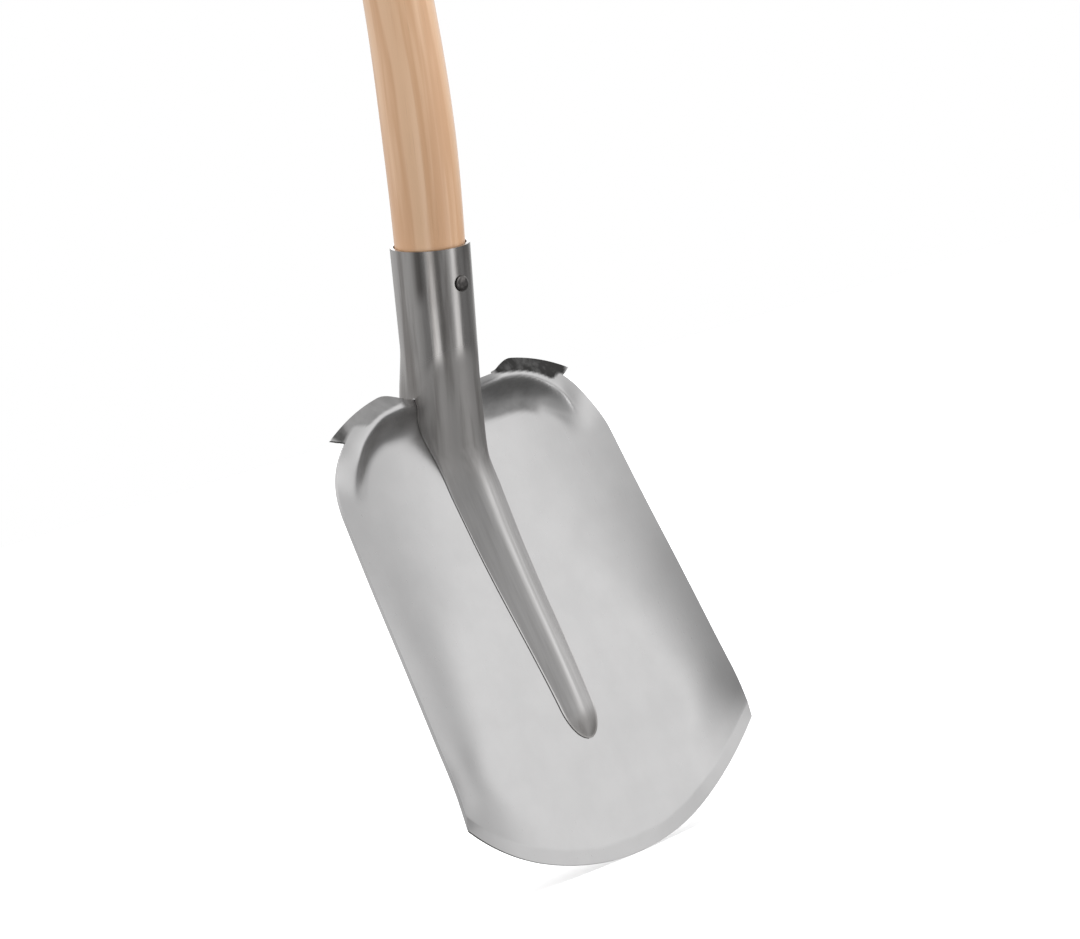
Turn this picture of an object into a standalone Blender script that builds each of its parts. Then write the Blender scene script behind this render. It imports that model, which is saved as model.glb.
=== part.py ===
"""Sand spade: a dished steel blade with a tread on each shoulder, a rolled socket whose tongue
runs down the blade's face as a tapering rib, a curved ash handle and the nail that holds it.

The blade is laid out in its own plane: x across, z up from the tip of the cutting edge, and the
flat floor of its face at y = 0, looking towards -y. An empty then leans all the pieces, so that
the handle's long straight stretch stands upright over the origin. Sizes are in metres.
"""

import math

import bpy
import bmesh
import numpy as np
from mathutils import Matrix, Vector

# Blade, seen from the front
BLADE_LENGTH = 0.286
BLADE_WIDTH = 0.2385
SIDE_TAPER = math.radians(2.9)
EDGE_RADIUS = 0.176
SHOULDER_RADIUS = 0.057
SHEET = 0.002

# Cutting edge, ground on the face
GRIND_LENGTH = 0.009
EDGE_THICKNESS = 0.0009

# Floor of the face: flat above the cutting edge, then sinking back towards the top
FLOOR_SINK = 0.0048
SINK_START_Z = 0.085
SINK_END_Z = 0.200

# Dished sides, from the bottom corner (0) to the start of the shoulder (1): place, width of the
# hollow curve in from the side, and height of the edge
SIDE = (
    (0.00, 0.056, 0.0084),
    (0.11, 0.040, 0.0104),
    (0.28, 0.046, 0.0097),
    (0.53, 0.058, 0.0084),
    (0.80, 0.086, 0.0065),
    (1.00, 0.095, 0.0058),
)

# Wall round the shoulder and along the top, from the bottom corner (0) to the middle of the top
# edge (1) along the outline: place, level band along the edge, slope inside the band, height, fall
# of the band, and the share of the slope that is hollow before it turns over into the band
RIM = (
    (0.57, 0.0080, 0.0180, 0.0064, 0.0004, 0.60),
    (0.63, 0.0112, 0.0140, 0.0074, 0.0006, 0.62),
    (0.69, 0.0108, 0.0135, 0.0086, 0.0008, 0.70),
    (0.735, 0.0095, 0.0145, 0.0095, 0.0010, 0.76),
    (0.78, 0.0080, 0.0150, 0.0102, 0.0010, 0.78),
    (0.84, 0.0048, 0.0170, 0.0106, 0.0004, 0.80),
    (1.00, 0.0036, 0.0178, 0.0100, 0.0003, 0.80),
)
WALL_START = 0.585
WALL_FULL = 0.72
NECK_FADE_START = 0.006
NECK_FADE_END = 0.042

# Treads: the strip outside the shoulder, growing from near the socket out to a cut end
TREAD_INNER_X = 0.035
TREAD_TIP_X = 0.0975
TREAD_TIP_DROP = 0.0095
TREAD_RISE = 0.0070
TREAD_START_SHARE = 0.15
TREAD_GROWTH = 0.30
TREAD_NOTCH_ANGLE = math.radians(50.0)

# Socket: its axis leans forward from the blade, and passes the blade's top edge near its middle
SOCKET_LEAN = math.radians(26.9)
SOCKET_LENGTH = 0.085
SOCKET_AXIS_DEPTH = 0.0035
MOUTH_RADIUS = 0.0230
NECK_RADIUS = 0.0219
SOCKET_WALL = 0.002
SEAM_GAP = 0.0012
SEAM_OPENING = 0.024
NECK_OPEN_ANGLE = math.radians(145.0)
NECK_FLARE = 0.16
NECK_FLARE_FROM = math.radians(95.0)
NECK_CUT = 0.0030

# Rib: the socket's tongue on the blade's face, a ridge that the round socket runs down into
RIB_HALF_WIDTH = 0.0195
RIB_END_HALF_WIDTH = 0.0130
RIB_FULL_WIDTH_Z = 0.225
RIB_NOSE_START_Z = 0.093
RIB_NOSE_Z = 0.0700
RIB_TOP_HEIGHT = 0.0098
RIB_END_HEIGHT = 0.0042
RIB_CREST = 0.30
RIB_BLEND = 0.0045
RIB_SIDE_BLEND = 0.0016
FOOT_THICKNESS = 0.0007

# Handle
HANDLE_LENGTH = 1.300
HANDLE_IN_SOCKET = 0.070
HANDLE_STRAIGHT_START = 0.015
HANDLE_BEND_RADIUS = 0.980
HANDLE_BEND = math.radians(17.0)
HANDLE_CLEARANCE = 0.0006
HANDLE_END_CHAMFER = 0.003
# distance above the socket's mouth, radius
HANDLE_SHAPE = ((0.0, 0.0202), (0.060, 0.0209), (0.140, 0.0198), (0.300, 0.0183), (0.700, 0.0176), (1.230, 0.0176))
HANDLE_DOME = 0.014
HANDLE_END_FLAT_RADIUS = 0.007

# Nail through the socket's front into the wood
NAIL_BELOW_MOUTH = 0.021
NAIL_RADIUS = 0.0020
NAIL_LENGTH = 0.030
NAIL_HEAD_RADIUS = 0.0046
NAIL_HEAD_HEIGHT = 0.0022

GAP = 0.0003
SOCKET_TO_BLADE = 0.0006

# Mesh steps
BLADE_COLUMNS = 28
BLADE_ROWS = 38
TUBE_ROWS = 6
OPENING_ROWS = 5
CUT_ROWS = 3
RIB_ROWS = 24
SECTION_STEPS = 24
HANDLE_SIDES = 24
NAIL_SIDES = 16


def smoothstep(value):
    value = np.clip(value, 0.0, 1.0)
    return value * value * (3.0 - 2.0 * value)


def smooth_table(place, table):
    """Values at a place, on a smooth curve through the rows of a table that starts with places."""
    rows = np.array(table)
    places = rows[:, 0]
    values = rows[:, 1:]
    slopes = np.gradient(values, places, axis=0)
    k = int(np.clip(np.searchsorted(places, place) - 1, 0, len(places) - 2))
    span = places[k + 1] - places[k]
    t = min(max((place - places[k]) / span, 0.0), 1.0)
    ease = t * t * (3.0 - 2.0 * t)
    start = values[k] * (1.0 - ease) + slopes[k] * span * t * (1.0 - t) ** 2
    return start + values[k + 1] * ease - slopes[k + 1] * span * t * t * (1.0 - t)


class Outline:
    """Right half of the blade's outline: a tapering side, a round shoulder and a level top edge."""

    corner = Vector((BLADE_WIDTH / 2, EDGE_RADIUS - math.sqrt(EDGE_RADIUS**2 - (BLADE_WIDTH / 2) ** 2)))
    centre_z = BLADE_LENGTH - SHOULDER_RADIUS
    centre_x = corner.x - (
        SHOULDER_RADIUS - math.sin(SIDE_TAPER) * (corner.y - centre_z)
    ) / math.cos(SIDE_TAPER)
    tangent_x = centre_x + SHOULDER_RADIUS * math.cos(SIDE_TAPER)
    tangent_z = centre_z + SHOULDER_RADIUS * math.sin(SIDE_TAPER)
    side_length = math.hypot(tangent_x - corner.x, tangent_z - corner.y)
    arc_length = SHOULDER_RADIUS * (math.pi / 2 - SIDE_TAPER)
    length = side_length + arc_length + centre_x

    @classmethod
    def point(cls, along):
        """Point at a distance along the outline from the bottom corner."""
        if along < cls.side_length:
            share = along / cls.side_length
            x = cls.corner.x + share * (cls.tangent_x - cls.corner.x)
            return x, cls.corner.y + share * (cls.tangent_z - cls.corner.y)
        if along < cls.side_length + cls.arc_length:
            angle = SIDE_TAPER + (along - cls.side_length) / SHOULDER_RADIUS
            x = cls.centre_x + SHOULDER_RADIUS * math.cos(angle)
            return x, cls.centre_z + SHOULDER_RADIUS * math.sin(angle)
        return cls.length - along, BLADE_LENGTH

    @classmethod
    def from_side(cls, x, z):
        """Distance in from the line of the side, and the distance up that line."""
        dx = x - cls.centre_x
        dz = z - cls.centre_z
        inside = SHOULDER_RADIUS - math.cos(SIDE_TAPER) * dx - math.sin(SIDE_TAPER) * dz
        up = math.cos(SIDE_TAPER) * (z - cls.corner.y) + math.sin(SIDE_TAPER) * (cls.corner.x - x)
        return inside, up

    @classmethod
    def nearest(cls, x, z):
        """Distance inside the outline, and where along it the nearest point lies."""
        dx = x - cls.centre_x
        dz = z - cls.centre_z
        if dx > 0 and dz > dx * math.tan(SIDE_TAPER):
            angle = math.atan2(dz, dx)
            along = cls.side_length + SHOULDER_RADIUS * (angle - SIDE_TAPER)
            return SHOULDER_RADIUS - math.hypot(dx, dz), along
        inside, up = cls.from_side(x, z)
        from_top = BLADE_LENGTH - z
        if from_top < inside:
            return from_top, cls.length - x
        return inside, max(up, 0.0)


def dish_height(x, z):
    """Height of the hollow between the two sides, over a floor that sinks back towards the top."""
    inside, up = Outline.from_side(x, z)
    reach, rise = smooth_table(min(max(up / Outline.side_length, 0.0), 1.0), SIDE)
    floor = -FLOOR_SINK * float(smoothstep((z - SINK_START_Z) / (SINK_END_Z - SINK_START_Z)))
    curve = max(1.0 - inside / reach, 0.0)
    return floor + (rise - floor) * curve**2


def face_height(x, z):
    """How far the blade's face stands forward of the flat part of its floor."""
    x = abs(x)
    base = dish_height(x, z)
    inside, along = Outline.nearest(x, z)
    place = along / Outline.length
    band, slope, rise, fall, hollow = smooth_table(place, RIM)
    t = (band + slope - inside) / slope
    if t <= 0.0:
        return base
    wall = float(smoothstep((place - WALL_START) / (WALL_FULL - WALL_START)))
    wall *= float(smoothstep((x - NECK_FADE_START) / (NECK_FADE_END - NECK_FADE_START)))
    if inside < band:
        over = (band - inside) / band
        rise -= fall * (over**2 if inside > 0 else 2.0 * over - 1.0)
        t = 1.0
    elif t < hollow:
        t = t * t / hollow
    else:
        t = 1.0 - (1.0 - t) ** 2 / (1.0 - hollow)
    return base + wall * t * (rise - base)


def shell(front, back, faces):
    """Closed mesh data between two sheets of points that share their faces."""
    count = len(front)
    closed = list(faces) + [tuple(count + i for i in reversed(face)) for face in faces]
    edges = {}
    for face in faces:
        for a, b in zip(face, face[1:] + face[:1]):
            edges[(a, b)] = True
    for a, b in edges:
        if (b, a) not in edges:
            closed.append((b, a, count + a, count + b))
    return list(front) + list(back), closed


def grid_faces(rows, columns):
    """Quads of a grid of points stored row by row."""
    faces = []
    for r in range(rows - 1):
        for c in range(columns - 1):
            k = r * columns + c
            faces.append((k, k + 1, k + columns + 1, k + columns))
    return faces


def sheet_normals(points, faces):
    """Unit normals of an open sheet at its points."""
    points = np.array(points)
    normals = np.zeros_like(points)
    for face in faces:
        corners = points[list(face)]
        normal = np.cross(corners[2] - corners[0], corners[-1] - corners[1])
        for index in face:
            normals[index] += normal
    return normals / np.linalg.norm(normals, axis=1)[:, None]


def steel(name, colour, roughness):
    return principled(name, colour, roughness, 1.0)


def principled(name, colour, roughness, metallic):
    """Principled material of one colour."""
    material = bpy.data.materials.new(name)
    material.use_nodes = True
    shader = material.node_tree.nodes["Principled BSDF"]
    shader.inputs["Base Color"].default_value = (*colour, 1.0)
    shader.inputs["Roughness"].default_value = roughness
    shader.inputs["Metallic"].default_value = metallic
    material.diffuse_color = (*colour, 1.0)
    return material


def add_object(name, points, faces, material, parent, sharp=35.0):
    """Object with its own mesh, smooth shaded apart from its sharp edges."""
    mesh = bpy.data.meshes.new(name)
    mesh.from_pydata([tuple(p) for p in points], [], faces)
    mesh.materials.append(material)
    mesh.shade_smooth()
    mesh.set_sharp_from_angle(angle=math.radians(sharp))
    piece = bpy.data.objects.new(name, mesh)
    bpy.context.scene.collection.objects.link(piece)
    piece.parent = parent
    return piece


def add_hole(piece, name, start, direction, length, radius):
    """Round hole cut with a cylinder that is kept as a wire guide."""
    mesh = bpy.data.meshes.new(name)
    work = bmesh.new()
    bmesh.ops.create_cone(
        work, cap_ends=True, segments=NAIL_SIDES, radius1=radius, radius2=radius, depth=length
    )
    work.to_mesh(mesh)
    work.free()
    cutter = bpy.data.objects.new(name, mesh)
    bpy.context.scene.collection.objects.link(cutter)
    cutter.parent = piece.parent
    cutter.location = start + direction * (length / 2)
    cutter.rotation_euler = direction.to_track_quat("Z", "Y").to_euler()
    cutter.display_type = "WIRE"
    cutter.hide_render = True
    cut = piece.modifiers.new(name, "BOOLEAN")
    cut.operation = "DIFFERENCE"
    cut.solver = "EXACT"
    cut.object = cutter


def blade_grid():
    """Right half of the blade's face as a grid from the middle out and from the edge up."""
    notch = Outline.side_length + SHOULDER_RADIUS * (TREAD_NOTCH_ANGLE - SIDE_TAPER)
    half = Outline.corner.x
    steps_out = [i / BLADE_COLUMNS for i in range(BLADE_COLUMNS + 1)]
    steps_up = [1.0 - (1.0 - i / BLADE_ROWS) ** 1.25 for i in range(BLADE_ROWS + 1)]

    def bottom(u):
        return np.array((half * u, EDGE_RADIUS - math.sqrt(EDGE_RADIUS**2 - (half * u) ** 2)))

    def top(u):
        return np.array(Outline.point(Outline.length - u * (Outline.length - notch)))

    def side(v):
        return np.array(Outline.point(notch * v))

    def middle(v):
        return np.array((0.0, BLADE_LENGTH * v))

    rows = []
    for v in steps_up:
        row = []
        for u in steps_out:
            ruled = (1 - v) * bottom(u) + v * top(u) + (1 - u) * middle(v) + u * side(v)
            corners = (1 - u) * (1 - v) * bottom(0) + u * (1 - v) * bottom(1)
            corners = corners + (1 - u) * v * top(0) + u * v * top(1)
            row.append(ruled - corners)
        rows.append(row)
    return rows


def tread_strip(inner):
    """Points outside the shoulder's outline, two rows out from each of its inner points."""
    tip_z = BLADE_LENGTH - TREAD_TIP_DROP
    top_z = BLADE_LENGTH + TREAD_RISE
    reach = TREAD_TIP_X - TREAD_INNER_X
    drop = top_z - tip_z
    radius = (reach**2 + drop**2) / (2 * drop)
    end_angle = math.asin(reach / radius)
    start = inner[0][0]
    span = inner[-1][0] - start
    middle_row = []
    outer_row = []
    for x, z in inner:
        along = (x - start) / span
        angle = end_angle * along
        full = np.array((TREAD_INNER_X + radius * math.sin(angle), top_z - radius * (1 - math.cos(angle))))
        grown = TREAD_START_SHARE + (1 - TREAD_START_SHARE) * float(smoothstep(along / TREAD_GROWTH))
        outer = np.array((x, z)) + grown * (full - np.array((x, z)))
        middle_row.append((np.array((x, z)) + outer) / 2)
        outer_row.append(outer)
    return middle_row, outer_row


def make_blade(parent):
    """Pressed blade: floor, raised rim, treads and a ground cutting edge."""
    grid = blade_grid()
    columns = len(grid[0])
    first = next(i for i, p in enumerate(grid[-1]) if p[0] >= TREAD_INNER_X)
    inner = grid[-1][first:]
    middle_row, outer_row = tread_strip(inner)
    flat = [p for row in grid for p in row] + middle_row + outer_row
    faces = grid_faces(len(grid), columns)
    base = (len(grid) - 1) * columns + first
    middle_base = len(grid) * columns
    outer_base = middle_base + len(inner)
    for i in range(len(inner) - 1):
        faces.append((base + i, base + i + 1, middle_base + i + 1, middle_base + i))
        faces.append((middle_base + i, middle_base + i + 1, outer_base + i + 1, outer_base + i))

    front = [(x, -face_height(x, z), z) for x, z in flat]
    normals = sheet_normals(front, faces)
    back = []
    ground = []
    for (x, y, z), normal in zip(front, normals):
        if x == 0.0:
            normal = Vector((0.0, normal[1], normal[2])).normalized()
        back.append(tuple(Vector((x, y, z)) - Vector(normal) * SHEET))
        edge = z - (EDGE_RADIUS - math.sqrt(max(EDGE_RADIUS**2 - x * x, 0.0)))
        thinning = (SHEET - EDGE_THICKNESS) * max(0.0, 1.0 - edge / GRIND_LENGTH)
        ground.append((x, y + thinning, z))

    count = len(ground)
    mirror = {i: i if p[0] == 0.0 else None for i, p in enumerate(ground)}
    for i in range(count):
        if mirror[i] is None:
            mirror[i] = len(ground)
            ground.append((-ground[i][0], ground[i][1], ground[i][2]))
            back.append((-back[i][0], back[i][1], back[i][2]))
    faces += [tuple(mirror[i] for i in reversed(face)) for face in faces]
    points, closed = shell(ground, back, faces)
    return add_object("blade", points, closed, steel("polished_steel", (0.62, 0.62, 0.62), 0.28), parent)


def socket_axis(below_mouth):
    """Point on the socket's axis."""
    mouth = Vector((0.0, -SOCKET_AXIS_DEPTH, BLADE_LENGTH))
    down = Vector((0.0, math.sin(SOCKET_LEAN), -math.cos(SOCKET_LEAN)))
    return mouth + down * (below_mouth - SOCKET_LENGTH)


def socket_radius(below_mouth):
    share = min(max(below_mouth / SOCKET_LENGTH, 0.0), 1.0)
    return MOUTH_RADIUS + (NECK_RADIUS - MOUTH_RADIUS) * share


def tube_section(below_mouth, open_angle, spread):
    """Points round the socket from one edge of its seam, past the front, to the other.

    Square to the axis at a spread of 0. At a spread of 1 it is level, and its open edges flare out.
    """
    centre = socket_axis(below_mouth)
    tilt = SOCKET_LEAN * (1.0 - spread)
    across = Vector((0.0, math.cos(tilt), math.sin(tilt)))
    points = []
    for k in range(SECTION_STEPS + 1):
        angle = open_angle * (2.0 * k / SECTION_STEPS - 1.0)
        behind = (abs(angle) - NECK_FLARE_FROM) / (NECK_OPEN_ANGLE - NECK_FLARE_FROM)
        radius = socket_radius(below_mouth) * (1.0 + NECK_FLARE * spread * float(smoothstep(behind)))
        offset = Vector((radius * math.sin(angle), 0.0, 0.0))
        offset -= across * (radius / math.cos(SOCKET_LEAN - tilt) * math.cos(angle))
        points.append(centre + offset)
    return points


def smooth_max(a, b, blend):
    return (a + b + math.hypot(a - b, blend)) / 2


def tube_front(x, z):
    """How far forward the front of the round socket is, where it runs down through the blade."""
    axis = (z - BLADE_LENGTH) * math.tan(SOCKET_LEAN) + SOCKET_AXIS_DEPTH
    across = min(abs(x) / NECK_RADIUS, 1.0)
    return axis + NECK_RADIUS / math.cos(SOCKET_LEAN) * math.sqrt(1.0 - across**2)


def rib_shape(z):
    """Half width of the tongue at a height, and the half width and height of the ridge on it."""
    grown = (z - RIB_NOSE_START_Z) / (RIB_FULL_WIDTH_Z - RIB_NOSE_START_Z)
    ridge = RIB_END_HALF_WIDTH + (RIB_HALF_WIDTH - RIB_END_HALF_WIDTH) * min(max(grown, 0.0), 1.0)
    height = RIB_END_HEIGHT + (RIB_TOP_HEIGHT - RIB_END_HEIGHT) * grown
    nose = (RIB_NOSE_START_Z - z) / (RIB_NOSE_START_Z - RIB_NOSE_Z)
    if nose > 0:
        ridge *= math.sqrt(max(1.0 - nose**2, 0.02))
        height *= max(1.0 - nose**4, 0.05)
    foot = face_height(NECK_RADIUS, z) + SOCKET_TO_BLADE + FOOT_THICKNESS
    depth = (foot - tube_front(0.0, z)) * math.cos(SOCKET_LEAN) / NECK_RADIUS + 1.0
    if depth >= 1.0:
        return ridge, ridge, height
    chord = NECK_RADIUS * math.sqrt(max(1.0 - depth**2, 0.0))
    return smooth_max(chord, ridge, RIB_SIDE_BLEND), ridge, height


def rib_section(z):
    """Points across the tongue, from its left foot over its crest to its right foot."""
    width, ridge, height = rib_shape(z)
    middle = face_height(0.0, z)
    side = face_height(width, z)
    points = []
    for k in range(SECTION_STEPS + 1):
        angle = math.pi / 2 * (2.0 * k / SECTION_STEPS - 1.0)
        x = width * math.sin(angle)
        under = max(face_height(x, z), middle + (side - middle) * abs(x) / width)
        foot = under + SOCKET_TO_BLADE + FOOT_THICKNESS
        across = min(abs(x) / ridge, 1.0)
        sharp = math.hypot(1.0, RIB_CREST)
        roof = (sharp - math.hypot(across, RIB_CREST)) / (sharp - RIB_CREST)
        top = smooth_max(middle + height * roof, tube_front(x, z), RIB_BLEND)
        edge = 0.0 if k in (0, SECTION_STEPS) else 1.0
        points.append(Vector((x, -foot - max(top - foot, 0.0) * edge, z)))
    return points


def make_socket(parent):
    """Rolled socket, open at a seam behind, and its tongue down the blade's face."""
    closed_angle = math.pi - SEAM_GAP / (2 * MOUTH_RADIUS)
    rim = face_height(NECK_RADIUS, BLADE_LENGTH)
    neck_depth = rim + SOCKET_TO_BLADE + FOOT_THICKNESS - SOCKET_AXIS_DEPTH
    neck_angle = math.acos(neck_depth * math.cos(SOCKET_LEAN) / NECK_RADIUS)
    cut_length = SOCKET_LENGTH - NECK_CUT / math.cos(SOCKET_LEAN)
    closed_length = cut_length - SEAM_OPENING
    sections = []
    for r in range(TUBE_ROWS + 1):
        sections.append(tube_section(closed_length * r / TUBE_ROWS, closed_angle, 0.0))
    for r in range(1, OPENING_ROWS + 1):
        share = r / OPENING_ROWS
        angle = closed_angle + (NECK_OPEN_ANGLE - closed_angle) * share**2
        sections.append(tube_section(closed_length + SEAM_OPENING * share, angle, float(smoothstep(share))))
    for r in range(1, CUT_ROWS + 1):
        share = r / CUT_ROWS
        angle = NECK_OPEN_ANGLE + (neck_angle - NECK_OPEN_ANGLE) * share
        below = cut_length + (SOCKET_LENGTH - SOCKET_TO_BLADE - cut_length) * share
        sections.append(tube_section(below, angle, 1.0))
    top = BLADE_LENGTH - 0.002
    nose_rows = 7
    for r in range(RIB_ROWS + 1):
        share = (r / RIB_ROWS) ** 1.15
        sections.append(rib_section(top + (RIB_NOSE_START_Z - top) * share))
    for r in range(1, nose_rows + 1):
        turn = math.pi / 2 * r / nose_rows
        sections.append(rib_section(RIB_NOSE_START_Z - (RIB_NOSE_START_Z - RIB_NOSE_Z) * math.sin(turn)))

    outer = [tuple(p) for section in sections for p in section]
    faces = [tuple(reversed(face)) for face in grid_faces(len(sections), SECTION_STEPS + 1)]
    normals = sheet_normals(outer, faces)
    inner = []
    for (x, y, z), normal in zip(outer, normals):
        point = Vector((x, y, z)) - Vector(normal) * SOCKET_WALL
        if z < BLADE_LENGTH + SHEET:
            point.y = min(point.y, -face_height(point.x, point.z) - SOCKET_TO_BLADE)
        inner.append(tuple(point))
    points, closed = shell(outer, inner, faces)
    socket = add_object("socket", points, closed, steel("forged_steel", (0.30, 0.29, 0.28), 0.38), parent)
    return socket


def handle_path():
    """Centre line of the handle as points, directions and distances above the mouth."""
    step = 0.020
    above = [-HANDLE_IN_SOCKET]
    while above[-1] < HANDLE_STRAIGHT_START + HANDLE_BEND * HANDLE_BEND_RADIUS:
        above.append(above[-1] + step)
    end = HANDLE_LENGTH - HANDLE_IN_SOCKET - HANDLE_DOME
    count = 12
    start = above[-1]
    above += [start + (end - start) * (k + 1) / count for k in range(count)]
    path = []
    for s in above:
        bent = min(max((s - HANDLE_STRAIGHT_START) / HANDLE_BEND_RADIUS, 0.0), HANDLE_BEND)
        lean = SOCKET_LEAN - bent
        straight = min(s, HANDLE_STRAIGHT_START)
        point = socket_axis(-straight)
        arc_y = HANDLE_BEND_RADIUS * (math.cos(SOCKET_LEAN) - math.cos(lean))
        arc_z = HANDLE_BEND_RADIUS * (math.sin(SOCKET_LEAN) - math.sin(lean))
        point += Vector((0.0, arc_y, arc_z))
        direction = Vector((0.0, -math.sin(lean), math.cos(lean)))
        past = max(s - HANDLE_STRAIGHT_START - HANDLE_BEND * HANDLE_BEND_RADIUS, 0.0)
        path.append((point + direction * past, direction, s))
    return path


def handle_radius(above_mouth):
    if above_mouth < 0:
        inside = socket_radius(-above_mouth) - SOCKET_WALL - HANDLE_CLEARANCE
        return min(inside, HANDLE_SHAPE[0][1])
    return float(smooth_table(above_mouth, HANDLE_SHAPE)[0])


def ring(centre, direction, radius, sides):
    """Points round a centre, in the plane square to a direction that leans only in y and z."""
    across = Vector((0.0, direction.z, -direction.y))
    points = []
    for k in range(sides):
        angle = 2 * math.pi * k / sides
        points.append(centre + Vector((radius * math.sin(angle), 0.0, 0.0)) - across * (radius * math.cos(angle)))
    return points


def tube_faces(rings, sides):
    """Faces of stacked rings with a flat cap at each end."""
    faces = []
    for r in range(rings - 1):
        for k in range(sides):
            a = r * sides + k
            b = r * sides + (k + 1) % sides
            faces.append((a, b, b + sides, a + sides))
    faces.append(tuple(reversed(range(sides))))
    faces.append(tuple((rings - 1) * sides + k for k in range(sides)))
    return faces


def make_handle(parent):
    """Ash handle, tapered into the socket, bent above it and rounded at its end."""
    path = handle_path()
    rings = []
    first_point, first_direction, first_s = path[0]
    chamfer_radius = handle_radius(first_s) - HANDLE_END_CHAMFER
    rings.append(ring(first_point, first_direction, chamfer_radius, HANDLE_SIDES))
    lifted = first_s + HANDLE_END_CHAMFER
    rings.append(ring(socket_axis(-lifted), first_direction, handle_radius(lifted), HANDLE_SIDES))
    for point, direction, s in path[1:]:
        rings.append(ring(point, direction, handle_radius(s), HANDLE_SIDES))
    last_point, last_direction, last_s = path[-1]
    full = handle_radius(last_s)
    dome_rows = 5
    top_turn = math.acos(HANDLE_END_FLAT_RADIUS / full)
    for k in range(1, dome_rows + 1):
        turn = top_turn * k / dome_rows
        lift = HANDLE_DOME * math.sin(turn) / math.sin(top_turn)
        rings.append(ring(last_point + last_direction * lift, last_direction, full * math.cos(turn), HANDLE_SIDES))
    points = [p for loop in rings for p in loop]
    wood = principled("ash_wood", (0.58, 0.36, 0.22), 0.5, 0.0)
    return add_object("handle", points, tube_faces(len(rings), HANDLE_SIDES), wood, parent)


def nail_place():
    """Where the nail meets the socket's outside, and its direction outwards."""
    outward = Vector((0.0, -math.cos(SOCKET_LEAN), -math.sin(SOCKET_LEAN)))
    surface = socket_axis(NAIL_BELOW_MOUTH) + outward * socket_radius(NAIL_BELOW_MOUTH)
    return surface, outward


def make_nail(parent):
    """Round-headed nail, pointed at its end."""
    surface, outward = nail_place()
    profile = [(-NAIL_LENGTH, 0.0004), (-NAIL_LENGTH + 0.005, NAIL_RADIUS), (GAP, NAIL_RADIUS)]
    profile += [(GAP, NAIL_HEAD_RADIUS)]
    for k in range(4):
        turn = math.radians(25 + 55 * k / 3)
        profile.append((GAP + NAIL_HEAD_HEIGHT * math.sin(turn), NAIL_HEAD_RADIUS * math.cos(turn) ** 0.6))
    rings = [ring(surface + outward * out, outward, radius, NAIL_SIDES) for out, radius in profile]
    points = [p for loop in rings for p in loop]
    metal = steel("nail_steel", (0.26, 0.25, 0.24), 0.35)
    return add_object("nail", points, tube_faces(len(rings), NAIL_SIDES), metal, parent)


def stand_on_floor(root, pieces):
    """Lean the spade so that its handle is upright, with the middle of its underside at the origin."""
    lean = SOCKET_LEAN - HANDLE_BEND
    turn = Matrix.Rotation(-lean, 3, "X")
    corners = np.array([turn @ vertex.co for piece in pieces for vertex in piece.data.vertices])
    low = corners.min(axis=0)
    high = corners.max(axis=0)
    root.rotation_euler = (-lean, 0.0, 0.0)
    root.location = (-(low[0] + high[0]) / 2, -(low[1] + high[1]) / 2, -low[2])


def main():
    for leftover in list(bpy.data.objects):
        bpy.data.objects.remove(leftover, do_unlink=True)
    root = bpy.data.objects.new("spade", None)
    bpy.context.scene.collection.objects.link(root)
    blade = make_blade(root)
    socket = make_socket(root)
    handle = make_handle(root)
    nail = make_nail(root)
    surface, outward = nail_place()
    reach = NAIL_LENGTH + 2 * GAP
    bore = NAIL_RADIUS + GAP
    add_hole(socket, "socket_nail_hole", surface - outward * 0.006, outward, 0.012, bore)
    add_hole(handle, "handle_nail_hole", surface - outward * reach, outward, reach + 0.002, bore)
    stand_on_floor(root, (blade, socket, handle, nail))
    bpy.context.view_layer.update()


main()
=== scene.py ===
"""Sand shovel with a dished steel blade, a rolled socket and a long curved ash handle.

The blade, the socket and the nail are laid out in the blade's own plane: x across, z up from the tip of the
cutting edge, and the flat floor of the blade's face at y = 0, looking towards -y. The whole is then leaned
so that the handle's long straight stretch stands upright. Sizes are in metres.
"""

import math
from typing import NamedTuple

import bmesh
import bpy
import numpy as np
from bpy.props import FloatProperty, FloatVectorProperty, IntProperty, PointerProperty
from bpy.types import NodeSocket, Operator, Panel, PropertyGroup
from mathutils import Matrix, Vector, noise
from mathutils.kdtree import KDTree


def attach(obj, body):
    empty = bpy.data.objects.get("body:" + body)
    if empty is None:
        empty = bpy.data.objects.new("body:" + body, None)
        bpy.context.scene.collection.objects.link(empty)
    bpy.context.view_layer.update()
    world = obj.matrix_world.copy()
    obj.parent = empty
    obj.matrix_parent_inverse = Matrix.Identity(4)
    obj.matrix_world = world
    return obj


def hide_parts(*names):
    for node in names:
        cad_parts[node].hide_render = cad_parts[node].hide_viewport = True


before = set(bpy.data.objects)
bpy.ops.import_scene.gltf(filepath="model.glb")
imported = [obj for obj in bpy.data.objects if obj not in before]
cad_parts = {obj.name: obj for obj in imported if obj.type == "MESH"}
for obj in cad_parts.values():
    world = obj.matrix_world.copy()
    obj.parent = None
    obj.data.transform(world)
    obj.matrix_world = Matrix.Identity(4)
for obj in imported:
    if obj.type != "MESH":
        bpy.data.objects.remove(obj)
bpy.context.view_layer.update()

bl_info = {
    "name": "Sand shovel",
    "version": (1, 0, 0),
    "blender": (4, 5, 0),
    "location": "3D View > Sidebar > Shovel",
    "description": "Builds a sand shovel from its blade, socket, handle and nail, with a studio around it",
    "category": "Add Mesh",
}

# Dished sides, from the bottom corner (0) to the start of the shoulder (1): place, width of the hollow curve
# in from the side, and height of the edge
SIDE = (
    (0.00, 0.056, 0.0084),
    (0.11, 0.040, 0.0104),
    (0.28, 0.046, 0.0097),
    (0.53, 0.058, 0.0084),
    (0.80, 0.086, 0.0065),
    (1.00, 0.095, 0.0058),
)

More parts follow.
